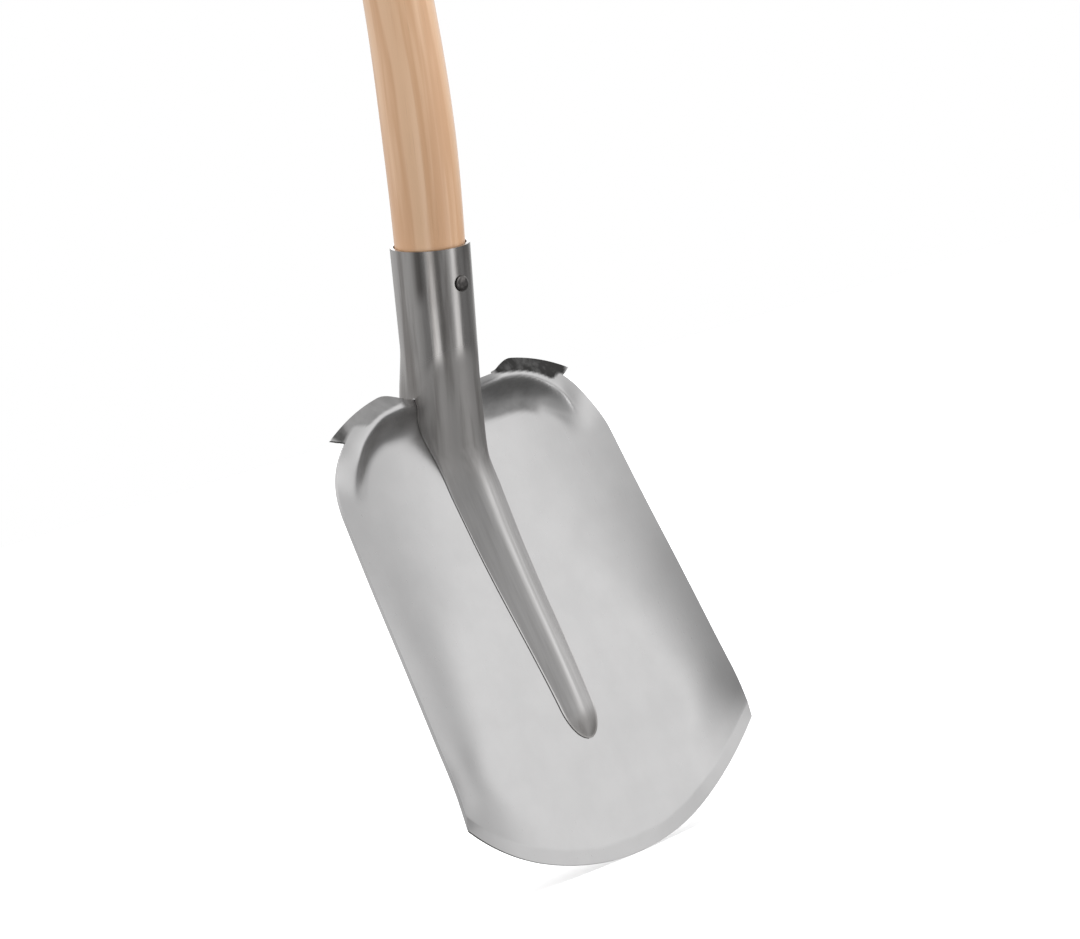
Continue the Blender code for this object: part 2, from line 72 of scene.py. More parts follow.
# Wall round the shoulder and along the top, from the bottom corner (0) to the middle of the top edge (1)
# along the outline: place, level band along the edge, slope inside the band, height, fall of the band, and
# the share of the slope that is hollow before it turns over into the band
RIM = (
    (0.57, 0.0080, 0.0180, 0.0064, 0.0004, 0.60),
    (0.63, 0.0112, 0.0140, 0.0074, 0.0006, 0.62),
    (0.69, 0.0108, 0.0135, 0.0086, 0.0008, 0.70),
    (0.735, 0.0095, 0.0145, 0.0095, 0.0010, 0.76),
    (0.78, 0.0080, 0.0150, 0.0102, 0.0010, 0.78),
    (0.84, 0.0048, 0.0170, 0.0106, 0.0004, 0.80),
    (1.00, 0.0036, 0.0178, 0.0100, 0.0003, 0.80),
)
WALL_START = 0.585
WALL_FULL = 0.72

# Handle: distance above the socket's mouth, radius
HANDLE_SHAPE = (
    (0.0, 0.0202),
    (0.060, 0.0209),
    (0.140, 0.0198),
    (0.300, 0.0183),
    (0.700, 0.0176),
    (1.230, 0.0176),
)

# Camera: the directions back towards the viewer and up, fitted to the picture's view
VIEW_BACK = (-0.69565, -0.71787, 0.02571)
VIEW_UP = (0.2455, -0.1636, 0.9555)

# Fineness of the blade's grid: its ground edge has even rows, and the others get closer towards the top
BLADE_COLUMNS = 56
BLADE_ROWS = 118
GROUND_ROWS = 14
GROUND_SHARE = 0.046
ROWS_CLOSER = 1.25
TREAD_ROWS = 5

# Fineness of the socket: steps round it and across its rib, and the rings and rows of each stretch, from the
# mouth down to the nose. The rib's rows get closer towards its top.
SOCKET_STEPS = 80
TUBE_RINGS = 36
OPENING_RINGS = 18
NECK_RINGS = 5
RIB_ROWS = 96
ROWS_CLOSER_UP = 1.15
NOSE_ROWS = 18

# Fineness of the nail, of its hole, and of the handle
NAIL_STEPS = 48
HEAD_RINGS = 11
HOLE_STEPS = 48
BEND_RINGS = 43
STRAIGHT_RINGS = 33
DOME_RINGS = 16

# A tread starts at a share of its width, and has all of it after a share of its length
TREAD_FIRST = 0.15
TREAD_GROWTH = 0.30

# The tube turns into the rib just below the blade's top edge, and their bend softens over a stretch below.
# CHORD_BLEND is the softness of the rib's outline there. The nose keeps a least share of the ridge's width,
# squared, and of its height.
RIB_START = 0.002
RIB_SOFTENS = 0.020
CHORD_BLEND = 0.0016
NOSE_LEAST = (0.02, 0.05)

# Length of the drill through the socket's wall, half of it outside
HOLE_DEPTH = 0.012

# Nail: radius and length of its point, the underside's share of the head's radius, and the head's profile as
# an arc in degrees with an exponent that squares its sides
NAIL_POINT = (0.0003, 0.005)
HEAD_UNDERSIDE = 0.94
HEAD_ARC = (4.0, 88.0)
HEAD_SIDES = 0.6


class ShadeAndScaleMarks(NamedTuple):
    """Painted shade, partly mill scale, on one half of the blade: a dark arc of painted shade under the
    shoulder, stronger near the socket, and the tread darkened by painted shade and scale.

    Lengths are in metres. Places along the arc are shares of the outline, as in RIM, and places across the
    tread go from its inner end (0) to its tip (1).
    """

    margin: float
    arc_start: float
    arc_full: float
    near_gain: float
    near_far: float
    near_close: float
    lip_end: float
    inner_tread: float
    outer_tread: float


# Painted shade, partly mill scale, for each half. The halves differ because the painted shade follows the
# light, which falls differently on each.
RIGHT_MARKS = ShadeAndScaleMarks(0.0045, 0.735, 0.770, 0.36, 0.086, 0.056, 0.66, 1.0, 1.0)
LEFT_MARKS = ShadeAndScaleMarks(0.002, 0.665, 0.715, 0.15, 0.052, 0.028, 0.52, 0.45, 0.80)

# The same on both halves: the arc's two soft edges and its strength far from the socket, the depth of the
# tread's painted shade and scale at its inner end and its tip, its soft edges and end, and where it fades in
ARC_EDGES = (0.005, 0.002)
ARC_STRENGTH = 0.12
LIP = (0.0008, 0.0098)
LIP_EDGES = (0.0006, -0.0008)
LIP_FADE = 0.20
TREAD_ACROSS = (0.0, 0.08)
TREAD_ALONG = (0.705, 0.715)
TREAD_OUTER = (0.75, 0.85)

# Marks on the socket, from the height where each starts to the one where it is full: bright wear on the rib,
# dull steel, and a painted reflection of the wood as a dark brown band under the mouth, with its place round
# the mouth in degrees. The steel's texture runs along the blade below UPRIGHT_FROM and along the tube above
# it.
# MOUTH_FROM cuts off the ring at the mouth.
UPRIGHT_FROM = 0.25
MOUTH_FROM = 0.325
WORN_FROM_TOP = (0.254, 0.214)
WORN_FROM_NOSE = (0.078, 0.090)
DULL = (0.306, 0.288)
WOOD_REFLECTION_HEIGHTS = (0.326, 0.340)
WOOD_REFLECTION_TURN = -62.0
WOOD_REFLECTION_WIDTH = 8.0
WOOD_REFLECTION_STRENGTH = 0.85


class SoftBox(NamedTuple):
    """Soft panel of light, as seen from the middle of the studio, in degrees.

    It has a left and a right edge, counted from the centre's azimuth, a lower and an upper end, and a blur
    for each of the four. A slant moves the left edge to the right for each degree above SLANT_LEVEL.
    """

    centre: float
    edges: tuple
    ends: tuple
    blurs: tuple
    strength: float
    slant: float = 0.0


# Light without the panels: brightness by elevation as two ramps, each from one angle to another, and the
# share that is added for dull surfaces only, from the left (-1) to the right (1)
SKY = (-30.0, 45.0, 0.24, 0.90)
GROUND = (-85.0, -40.0, 0.45, 1.0)
FILL = (-0.9, 0.3, -0.15, 1.00)
SLANT_LEVEL = 12.0
SOFT_BOXES = (
    SoftBox(40.0, (-16.0, 17.0), (-16.0, 34.0), (16.0, 12.0, 9.0, 10.0), 0.75, slant=1.2),
    SoftBox(96.0, (-23.0, 30.0), (-6.0, 28.0), (14.0, 12.0, 6.0, 8.0), 0.60),
    SoftBox(-20.0, (-30.0, 26.0), (-8.0, 36.0), (14.0, 12.0, 8.0, 8.0), -0.22),
    SoftBox(-4.0, (-24.0, 22.0), (-50.0, -12.0), (8.0, 8.0, 8.0, 6.0), 0.30),
    SoftBox(136.0, (-9.0, 9.0), (-6.0, 40.0), (6.0, 6.0, 8.0, 8.0), 1.80),
    SoftBox(-150.0, (-60.0, 60.0), (-30.0, 50.0), (20.0, 20.0, 20.0, 20.0), 0.30),
    SoftBox(-54.0, (-8.0, 8.0), (-40.0, -12.0), (5.0, 5.0, 4.0, 4.0), 2.20),
    SoftBox(24.0, (-9.0, 9.0), (-44.0, -24.0), (5.0, 5.0, 4.0, 4.0), 2.00),
)


def size(name, description, default):
    """Length property."""
    return FloatProperty(name=name, description=description, default=default, precision=4, unit="LENGTH")


def turn(name, description, degrees):
    """Angle property."""
    return FloatProperty(name=name, description=description, default=math.radians(degrees), unit="ROTATION")


def number(name, description, default):
    """Property that is a plain number."""
    return FloatProperty(name=name, description=description, default=default)


def tint(name, description, default):
    """Colour property."""
    return FloatVectorProperty(
        name=name, description=description, default=default, size=3, min=0.0, max=1.0, subtype="COLOR"
    )


class BladeSettings(PropertyGroup):
    """Sizes and finishes of the pressed blade."""

    length: size("Length", "From the tip of the cutting edge to the top edge", 0.286)
    width: size("Width", "Across the bottom corners", 0.2385)
    side_taper: turn("Side taper", "How much each side leans in towards the top", 2.9)
    edge_radius: size("Edge radius", "Radius of the round cutting edge", 0.176)
    shoulder_radius: size("Shoulder radius", "Radius of the two shoulders", 0.057)
    sheet: size("Sheet", "Thickness of the steel", 0.002)
    grind_length: size("Grind", "Width of the ground bevel along the cutting edge", 0.009)
    edge_thickness: size("Edge thickness", "Thickness left at the cutting edge", 0.0009)
    sink: size("Sink", "How far the floor sinks back towards the top", 0.0048)
    sink_start: size("Sink start", "Height over the tip where the floor starts to sink", 0.085)
    sink_end: size("Sink end", "Height over the tip where the floor has sunk", 0.200)
    neck_fade_start: size("Neck fade start", "Half width of the rim pressed flat for the socket", 0.006)
    neck_fade_end: size("Neck fade end", "Where the rim reaches its height beside the socket", 0.042)
    tread_inner: size("Tread inner end", "Distance of a tread's inner end from the middle", 0.035)
    tread_tip: size("Tread tip", "Distance of a tread's tip from the middle", 0.0975)
    tread_drop: size("Tread drop", "How far a tread's tip lies under the top edge", 0.0095)
    tread_rise: size("Tread rise", "How far a tread stands over the top edge", 0.0070)
    tread_notch: turn("Tread notch", "Where on the shoulder a tread is cut off", 50.0)
    polished: tint("Polished steel", "Colour of the polished face", (0.66, 0.655, 0.655))
    # Dark steel: the colour of the painted shade under the shoulders, near the socket and on the treads,
    # which stands partly for mill scale.
    scaled: tint("Dark steel", "Colour where the mill scale is left on", (0.055, 0.054, 0.053))


class SocketSettings(PropertyGroup):
    """Sizes and finish of the rolled socket and its rib."""

    lean: turn("Lean", "Angle between the socket and the blade's plane", 26.9)
    length: size("Length", "From the mouth to the blade's top edge, along the axis", 0.085)
    axis_depth: size("Axis depth", "How far behind the face's floor the axis passes the top edge", -0.0035)
    mouth_radius: size("Mouth radius", "Outer radius at the mouth", 0.0230)
    neck_radius: size("Neck radius", "Outer radius at the blade", 0.0219)
    wall: size("Wall", "Thickness of the rolled steel", 0.002)
    seam_gap: size("Seam gap", "Gap between the two edges behind", 0.0012)
    seam_opening: size("Seam opening", "Length over which the seam opens above the blade", 0.024)
    neck_open: turn("Neck opening", "Half angle of the steel that is left round the neck", 145.0)
    neck_flare: number("Neck flare", "How far the open edges spread, by radius", 0.16)
    neck_cut: size("Neck cut", "Height over which the neck's edges come forward over the blade", 0.0030)
    clearance: size("Clearance", "Gap between the rib and the blade", 0.0002)
    rib_half_width: size("Rib half width", "Half width of the rib at its top", 0.0195)
    rib_end_half_width: size("Rib end half width", "Half width of the rib at its nose", 0.0130)
    rib_full_width_z: size("Rib full width", "Height over the tip where the rib is full width", 0.225)
    rib_nose_start_z: size("Rib nose start", "Height over the tip where the nose starts to close", 0.093)
    rib_nose_z: size("Rib nose", "Height over the tip of the nose's end", 0.0700)
    rib_top_height: size("Rib top height", "How far the rib stands over the floor at its top", 0.0098)
    rib_end_height: size("Rib end height", "How far the rib stands over the floor at its nose", 0.0042)
    rib_blend: size("Rib blend", "Softness of the bend where the socket runs into the rib", 0.0045)
    rib_crest: number("Rib crest", "Roundness of the rib's ridge", 0.30)
    foot: size("Foot", "Thickness of the rib's edge on the blade", 0.0003)
    forged: tint("Forged steel", "Colour of the socket and the rib", (0.46, 0.448, 0.44))
    # Heated steel: random heat-tinted patches, and, darkened further, the painted reflection of the wood
    # under the mouth.
    heat_tint_and_reflection: tint("Heated steel", "Colour of the darker patches", (0.20, 0.185, 0.175))


class HandleSettings(PropertyGroup):
    """Sizes and colours of the ash handle."""

    length: size("Length", "Whole length of the wood", 1.300)
    in_socket: size("In socket", "Length that is hidden in the socket", 0.070)
    straight_start: size("Straight start", "Straight stretch above the mouth", 0.015)
    bend_radius: size("Bend radius", "Radius of the curve above the socket", 0.980)
    bend: turn("Bend", "Angle of that curve", 17.0)
    clearance: size("Clearance", "Gap between the wood and the socket", 0.0006)
    chamfer: size("Chamfer", "Chamfer of the lower end", 0.003)
    dome: size("Dome", "Height of the rounded top end", 0.014)
    end_flat: size("End flat", "Radius of the small flat on the top end", 0.007)
    sides: IntProperty(name="Sides", description="Steps round the handle", default=96, min=12, max=256)
    early_wood: tint("Early wood", "Lighter colour of the grain", (0.92, 0.60, 0.375))
    late_wood: tint("Late wood", "Darker colour of the grain", (0.79, 0.465, 0.26))


class NailSettings(PropertyGroup):
    """Sizes and finish of the nail."""

    below_mouth: size("Below mouth", "Distance of the nail from the socket's mouth", 0.021)
    radius: size("Radius", "Radius of the shank", 0.0020)
    length: size("Length", "Length under the head", 0.030)
    head_radius: size("Head radius", "Radius of the round head", 0.0046)
    head_height: size("Head height", "Height of the round head", 0.0022)
    gap: size("Gap", "Clearance round the shank and under the head", 0.0003)
    metal: tint("Nail steel", "Colour of the bare head", (0.20, 0.19, 0.185))


class StudioSettings(PropertyGroup):
    """Camera, light and floor."""

    eye: FloatVectorProperty(
        name="Camera place",
        description="Where the camera stands",
        default=(-1.7143, -1.7928, 0.2873),
        size=3,
        subtype="TRANSLATION",
        unit="LENGTH",
    )
    lens: number("Lens", "Focal length in millimetres on a 36 mm sensor", 145.9)
    overhead: number("Overhead light", "Strength of the soft light from above", 2.6)
    floor: tint("Floor", "Colour of the plain floor", (0.90, 0.90, 0.90))


class ShovelSettings(PropertyGroup):
    """All that the shovel is built from."""

    blade: PointerProperty(type=BladeSettings, name="Blade", description="Sizes of the blade")
    socket: PointerProperty(type=SocketSettings, name="Socket", description="Sizes of the socket and rib")
    handle: PointerProperty(type=HandleSettings, name="Handle", description="Sizes of the handle")
    nail: PointerProperty(type=NailSettings, name="Nail", description="Sizes of the nail")
    studio: PointerProperty(type=StudioSettings, name="Studio", description="Camera, light and floor")


def clamp(value):
    return min(max(value, 0.0), 1.0)


def mix(start, end, share):
    return start + (end - start) * share


def smoothstep(value, low=0.0, high=1.0):
    """Smooth rise from 0 at the low place to 1 at the high one, which may also be the lesser number."""
    share = np.clip((value - low) / (high - low), 0.0, 1.0)
    return share * share * (3.0 - 2.0 * share)


def smooth_max(a, b, blend_size):
    return (a + b + math.hypot(a - b, blend_size)) / 2


def shares(count, first=0):
    """Even steps from 0 to 1, without those before the first one wanted."""
    return np.linspace(0.0, 1.0, count + 1)[first:]


def ripple(x, y, z, scale):
    """Smooth fixed unevenness between -1 and 1."""
    return noise.noise(Vector((x, y, z)) / scale)


class SmoothTable:
    """Smooth curve through the rows of a table that starts with places."""

    def __init__(self, table):
        rows = np.array(table)
        self.places = rows[:, 0]
        self.values = rows[:, 1:]
        self.slopes = np.gradient(self.values, self.places, axis=0)

    def at(self, place):
        k = int(np.clip(np.searchsorted(self.places, place) - 1, 0, len(self.places) - 2))
        span = self.places[k + 1] - self.places[k]
        t = clamp((place - self.places[k]) / span)
        ease = smoothstep(t)
        start = self.values[k] * (1.0 - ease) + self.slopes[k] * span * t * (1.0 - t) ** 2
        return start + self.values[k + 1] * ease - self.slopes[k + 1] * span * t * t * (1.0 - t)


class BladeForm:
    """Right half of the blade's outline, and how far its face stands forward of the flat floor.

    Its points are pairs of x and z.
    """

    def __init__(self, blade):
        self.blade = blade
        self.rim = SmoothTable(RIM)
        self.side = SmoothTable(SIDE)
        self.taper = blade.side_taper
        self.round = blade.shoulder_radius
        self.outward = np.array((math.cos(self.taper), math.sin(self.taper)))
        self.upward = np.array((-self.outward[1], self.outward[0]))
        half = blade.width / 2
        centre_z = blade.length - self.round
        self.corner = np.array((half, self.edge_z(half)))
        reach = self.round - self.outward[1] * (self.corner[1] - centre_z)
        self.centre = np.array((half - reach / self.outward[0], centre_z))
        self.tangent = self.centre + self.round * self.outward
        self.side_length = math.dist(self.tangent, self.corner)
        self.arc_length = self.round * (math.pi / 2 - self.taper)
        self.length = self.side_length + self.arc_length + self.centre[0]

    def edge_z(self, x):
        """Height of the round cutting edge."""
        radius = self.blade.edge_radius
        return radius - math.sqrt(max(radius**2 - x * x, 0.0))

    def point(self, along):
        """Point at a distance along the outline from the bottom corner."""
        if along < self.side_length:
            return mix(self.corner, self.tangent, along / self.side_length)
        if along < self.side_length + self.arc_length:
            angle = self.taper + (along - self.side_length) / self.round
            return self.centre + self.round * np.array((math.cos(angle), math.sin(angle)))
        return np.array((self.length - along, self.blade.length))

    def beside(self, x, z):
        """Distance inside the line of the straight side, and how far up along it from the corner."""
        place = np.array((x, z))
        return self.round - self.outward @ (place - self.centre), self.upward @ (place - self.corner)

    def nearest(self, x, z):
        """Distance inside the outline, and where along it the nearest point lies."""
        dx, dz = np.array((x, z)) - self.centre
        if dx > 0 and dz > dx * math.tan(self.taper):
            turned = math.atan2(dz, dx) - self.taper
            return self.round - math.hypot(dx, dz), self.side_length + self.round * turned
        inside, up = self.beside(x, z)
        from_top = self.blade.length - z
        return (from_top, self.length - x) if from_top < inside else (inside, max(up, 0.0))

    def floor(self, z):
        """Height of the floor's middle, which sinks back from the flat part towards the top."""
        blade = self.blade
        return -blade.sink * smoothstep(z, blade.sink_start, blade.sink_end)

    def dish(self, x, z):
        """Height of the hollow between the two sides."""
        inside, up = self.beside(x, z)
        reach, rise = self.side.at(clamp(up / self.side_length))
        curve = max(1.0 - inside / reach, 0.0)
        return mix(self.floor(z), rise, curve**2)

    def height(self, x, z):
        """How far the face stands forward of the plane of the flat floor."""
        blade = self.blade
        x = abs(x)
        base = self.dish(x, z)
        inside, along = self.nearest(x, z)
        share = along / self.length
        band, slope, rise, fall, hollow = self.rim.at(share)
        t = (band + slope - inside) / slope
        if t <= 0.0:
            return base
        wall = smoothstep(share, WALL_START, WALL_FULL)
        wall *= smoothstep(x, blade.neck_fade_start, blade.neck_fade_end)
        if inside < band:
            over = (band - inside) / band
            rise -= fall * (over**2 if inside > 0 else 2.0 * over - 1.0)
            t = 1.0
        elif t < hollow:
            t = t * t / hollow
        else:
            t = 1.0 - (1.0 - t) ** 2 / (1.0 - hollow)
        return base + wall * t * (rise - base)


def grid_faces(rows, columns):
    """Quads of a grid of points stored row by row."""
    starts = [r * columns + c for r in range(rows - 1) for c in range(columns - 1)]
    return [(k, k + 1, k + columns + 1, k + columns) for k in starts]


def sheet_normals(points, faces):
    """Unit normals of an open sheet of quads at its points."""
    quads = np.array(faces)
    corners = points[quads]
    across = np.cross(corners[:, 2] - corners[:, 0], corners[:, 3] - corners[:, 1])
    normals = np.zeros_like(points)
    for k in range(4):
        np.add.at(normals, quads[:, k], across)
    return normals / np.linalg.norm(normals, axis=1)[:, None]


def shell(front, back, faces):
    """Closed mesh data between two sheets of points that share their faces."""
    count = len(front)
    closed = list(faces) + [tuple(count + i for i in reversed(face)) for face in faces]
    edges = set()
    for face in faces:
        edges.update(zip(face, face[1:] + face[:1]))
    for a, b in edges:
        if (b, a) not in edges:
            closed.append((b, a, count + a, count + b))
    return np.vstack((front, back)), closed


def placement(shovel):
    """Lean of the blade's plane, and where it goes: the wood's flat end meets that of the fixed frame."""
    lean = Matrix.Rotation(shovel.handle.bend - shovel.socket.lean, 4, "X")
    corners = [vertex.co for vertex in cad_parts["handle"].data.vertices]
    top = max(corner.z for corner in corners)
    flat = [corner for corner in corners if corner.z > top - 1e-5]
    centre = sum(flat, Vector()) / len(flat)
    point, direction, _ = handle_path(shovel)[-1]
    end = point + direction * shovel.handle.dome
    return Matrix.Translation(centre - lean @ end) @ lean


def link(name, data):
    """New object in the scene."""
    made = bpy.data.objects.new(name, data)
    bpy.context.scene.collection.objects.link(made)
    return made


def new_piece(name, points, faces, material):
    """Object with its own mesh."""
    mesh = bpy.data.meshes.new(name)
    mesh.from_pydata([tuple(p) for p in points], [], faces)
    mesh.materials.append(material)
    return link(name, mesh)


def store(mesh, name, values):
    """Point attribute that a material reads: one number or three a point."""
    values = np.array(values, dtype=np.float32)
    kind, field = ("FLOAT", "value") if values.ndim == 1 else ("FLOAT_VECTOR", "vector")
    mesh.attributes.new(name, kind, "POINT").data.foreach_set(field, values.ravel())


def finished_mesh(thing):
    """Copy of an object's mesh with its modifiers worked in."""
    depsgraph = bpy.context.evaluated_depsgraph_get()
    evaluated = thing.evaluated_get(depsgraph)
    return bpy.data.meshes.new_from_object(evaluated, preserve_all_data_layers=True, depsgraph=depsgraph)


def settle(piece):
    """Turns a piece's modifiers into its mesh."""
    mesh = finished_mesh(piece)
    piece.modifiers.clear()
    rough = piece.data
    piece.data = mesh
    bpy.data.meshes.remove(rough)
    mesh.name = piece.name


def soften_edges(piece, width):
    """Rounds a piece's sharp edges a little and shades it smooth."""
    bevel = piece.modifiers.new("soft_edges", "BEVEL")
    bevel.width = width
    bevel.segments = 2
    bevel.limit_method = "ANGLE"
    bevel.angle_limit = math.radians(40.0)
    settle(piece)
    piece.data.shade_smooth()
    piece.modifiers.new("even_shading", "WEIGHTED_NORMAL").weight = 60
    settle(piece)


def drill(piece, start, direction, length, radius):
    """Round hole through a piece."""
    mesh = bpy.data.meshes.new("drill")
    work = bmesh.new()
    sizes = {"segments": HOLE_STEPS, "radius1": radius, "radius2": radius, "depth": length}
    bmesh.ops.create_cone(work, cap_ends=True, **sizes)
    place = Matrix.Translation(start + direction * (length / 2))
    work.transform(place @ direction.to_track_quat("Z", "Y").to_matrix().to_4x4())
    work.to_mesh(mesh)
    work.free()
    cutter = link("drill", mesh)
    cut = piece.modifiers.new("hole", "BOOLEAN")
    cut.operation = "DIFFERENCE"
    cut.solver = "EXACT"
    cut.object = cutter
    settle(piece)
    bpy.data.objects.remove(cutter, do_unlink=True)
    bpy.data.meshes.remove(mesh)


def feed(tree, made, inputs):
    """Gives a node's inputs their values, or links them where an output is given."""
    for key, value in inputs.items():
        if isinstance(value, NodeSocket):
            tree.links.new(value, made.inputs[key])
        else:
            made.inputs[key].default_value = value


def node(tree, kind, inputs=None, **properties):
    """New node with its properties and inputs."""
    made = tree.nodes.new(kind)
    for name, value in properties.items():
        setattr(made, name, value)
    feed(tree, made, inputs or {})
    return made


def maths(tree, operation, *values):
    """Output of a Math node."""
    return node(tree, "ShaderNodeMath", dict(enumerate(values)), operation=operation).outputs[0]


def speckle(tree, vector, scale, detail, along=1.0, roughness=0.55, distortion=0.0):
    """Output of a noise texture, drawn out along z where the scale along it is under 1."""
    if along < 1.0:
        vector = node(tree, "ShaderNodeMapping", {"Vector": vector, "Scale": (1.0, 1.0, along)}).outputs[0]
    inputs = {"Vector": vector, "Scale": scale, "Detail": detail}
    inputs |= {"Roughness": roughness, "Distortion": distortion}
    return node(tree, "ShaderNodeTexNoise", inputs).outputs["Fac"]


def ramp(tree, value, low, high, start=0.0, end=1.0):
    """A value moved from one range to another, smoothly and clamped."""
    inputs = {"Value": value, "From Min": low, "From Max": high, "To Min": start, "To Max": end}
    return node(tree, "ShaderNodeMapRange", inputs, interpolation_type="SMOOTHSTEP").outputs["Result"]


def blend(tree, factor, first, second):
    """Two colours mixed, each an output or three numbers."""
    first, second = (c if isinstance(c, NodeSocket) else (*c, 1.0) for c in (first, second))
    mixed = node(tree, "ShaderNodeMix", {"Factor": factor, 6: first, 7: second}, data_type="RGBA")
    return mixed.outputs[2]


def darker(colour, share):
    return [share * c for c in colour]


def bump(tree, height, strength, distance, below=None):
    """Normal disturbed by a height."""
    inputs = {"Height": height, "Strength": strength, "Distance": distance}
    if below is not None:
        inputs["Normal"] = below
    return node(tree, "ShaderNodeBump", inputs).outputs["Normal"]


def new_material(name, colour):
    """Material with its tree and shader."""
    material = bpy.data.materials.new(name)
    material.use_nodes = True
    material.diffuse_color = (*colour, 1.0)
    return material, material.node_tree, material.node_tree.nodes["Principled BSDF"]


def read(tree, name, output="Vector"):
    """A piece's own attribute."""
    return node(tree, "ShaderNodeAttribute", attribute_name=name, attribute_type="GEOMETRY").outputs[output]


def polished_steel(shovel):
    """Ground and polished face with a faint grain, darkened with painted shade, partly mill scale, under the
    shoulders, near the socket and on the treads.
    """
    blade = shovel.blade
    material, tree, shader = new_material("polished_blade_steel", blade.polished)
    place = read(tree, "blade_place")
    cloud = speckle(tree, place, 38.0, 5.0)
    fine = speckle(tree, place, 1500.0, 3.0, along=0.12)
    mottle = speckle(tree, place, 90.0, 6.0)
    # Painted shade, partly mill scale, read from the blade's mask.
    scale = read(tree, "scale_and_painted_shade", "Fac")
    dark = maths(tree, "MULTIPLY", scale, ramp(tree, mottle, 0.3, 0.7, 0.82, 1.12))
    bright = blend(tree, ramp(tree, cloud, 0.3, 0.7), blade.polished, darker(blade.polished, 0.95))
    grain = bump(tree, fine, 0.05, 0.0004)
    inputs = {
        "Base Color": blend(tree, dark, bright, blade.scaled),
        "Metallic": 1.0,
        "Roughness": maths(tree, "MULTIPLY_ADD", fine, 0.05, ramp(tree, dark, 0.0, 0.5, 0.26, 0.52)),
        "Normal": bump(tree, speckle(tree, place, 22.0, 2.0), 0.12, 0.0006, grain),
    }
    feed(tree, shader, inputs)
    return material


def forged_steel(shovel):
    """Dark rolled steel, streaked along its length, heat-tinted brown in patches, with a painted reflection
    of the wood, dark brown, under the mouth.
    """
    socket = shovel.socket
    material, tree, shader = new_material("forged_socket_steel", socket.forged)
    place = read(tree, "steel_place")
    worn = read(tree, "worn", "Fac")
    streaks = speckle(tree, place, 420.0, 4.0, along=0.05)
    cloud = speckle(tree, place, 90.0, 4.0, along=0.10)
    mottle_and_reflection = blend(tree, ramp(tree, cloud, 0.45, 0.68, 0.0, 0.7), socket.forged, socket.heat_tint_and_reflection)
    # Painted reflection: the wood's dark brown reflection in the steel just under the mouth, painted into
    # the colour.
    mottle_and_reflection = blend(tree, read(tree, "painted_wood_reflection", "Fac"), mottle_and_reflection, darker(socket.heat_tint_and_reflection, 0.6))
    polished = blend(tree, ramp(tree, streaks, 0.3, 0.7), (0.70, 0.69, 0.685), (0.61, 0.60, 0.595))
    matt = ramp(tree, read(tree, "dull", "Fac"), 0.0, 1.0, 0.0, 0.30)
    matt = maths(tree, "ADD", ramp(tree, worn, 0.0, 1.0, 0.20, 0.27), matt)
    inputs = {
        "Base Color": blend(tree, worn, mottle_and_reflection, polished),
        "Metallic": 1.0,
        "Roughness": maths(tree, "MULTIPLY_ADD", cloud, 0.10, matt),
        "Normal": bump(tree, cloud, 0.10, 0.0008, bump(tree, streaks, 0.06, 0.0005)),
    }
    feed(tree, shader, inputs)
    return material


def ash_wood(shovel):
    """Varnished ash: long grain with open pores, under a thin clear coat."""
    handle = shovel.handle
    material, tree, shader = new_material("varnished_ash", handle.early_wood)
    place = read(tree, "wood_place")
    wander = speckle(tree, place, 60.0, 2.0, along=0.10)
    rings = speckle(tree, place, 170.0, 3.0, along=0.04, roughness=0.5, distortion=0.4)
    pores = speckle(tree, place, 1500.0, 3.0, along=0.018, roughness=0.6)
    grain = maths(tree, "MULTIPLY_ADD", wander, 0.4, maths(tree, "MULTIPLY", rings, 0.6))
    colour = blend(tree, ramp(tree, grain, 0.42, 0.60), handle.early_wood, handle.late_wood)
    pored = ramp(tree, pores, 0.60, 0.78, 0.0, 0.35)
    inputs = {
        "Base Color": blend(tree, pored, colour, darker(handle.late_wood, 0.72)),
        "Roughness": ramp(tree, grain, 0.3, 0.7, 0.42, 0.52),
        "Coat Weight": 0.60,
        "Coat Roughness": 0.18,
        "Normal": bump(tree, pores, 0.12, 0.0004),
    }
    feed(tree, shader, inputs)
    return material


def bare_nail_steel(shovel):
    """Dark bare steel, dented by the hammer."""
    metal = shovel.nail.metal
    material, tree, shader = new_material("bare_nail_steel", metal)
    dents = speckle(tree, node(tree, "ShaderNodeTexCoord").outputs["Object"], 420.0, 3.0)
    inputs = {
        "Base Color": blend(tree, ramp(tree, dents, 0.35, 0.7), metal, darker(metal, 0.55)),
        "Metallic": 1.0,
        "Roughness": ramp(tree, dents, 0.3, 0.7, 0.28, 0.45),
        "Normal": bump(tree, dents, 0.35, 0.0008),
    }
    feed(tree, shader, inputs)
    return material


def blade_grid(form):
    """Right half of the blade's face as a grid from the middle out and from the edge up."""
    blade = form.blade
    notch = form.side_length + form.round * (blade.tread_notch - form.taper)
    half = form.corner[0]
    steps_out = shares(BLADE_COLUMNS)
    eased = 1.0 - (1.0 - shares(BLADE_ROWS - GROUND_ROWS, first=1)) ** ROWS_CLOSER
    steps_up = np.concatenate((GROUND_SHARE * shares(GROUND_ROWS), mix(GROUND_SHARE, 1.0, eased)))
    middle = np.stack((np.zeros_like(steps_up), blade.length * steps_up), axis=1)
    side = np.array([form.point(notch * v) for v in steps_up])
    bottom = np.array([(half * u, form.edge_z(half * u)) for u in steps_out])
    top = np.array([form.point(mix(form.length, notch, u)) for u in steps_out])
    u = steps_out[None, :, None]
    v = steps_up[:, None, None]
    ruled = mix(bottom[None], top[None], v) + mix(middle[:, None], side[:, None], u)
    return ruled - mix(mix(bottom[0], bottom[-1], u), mix(top[0], top[-1], u), v)


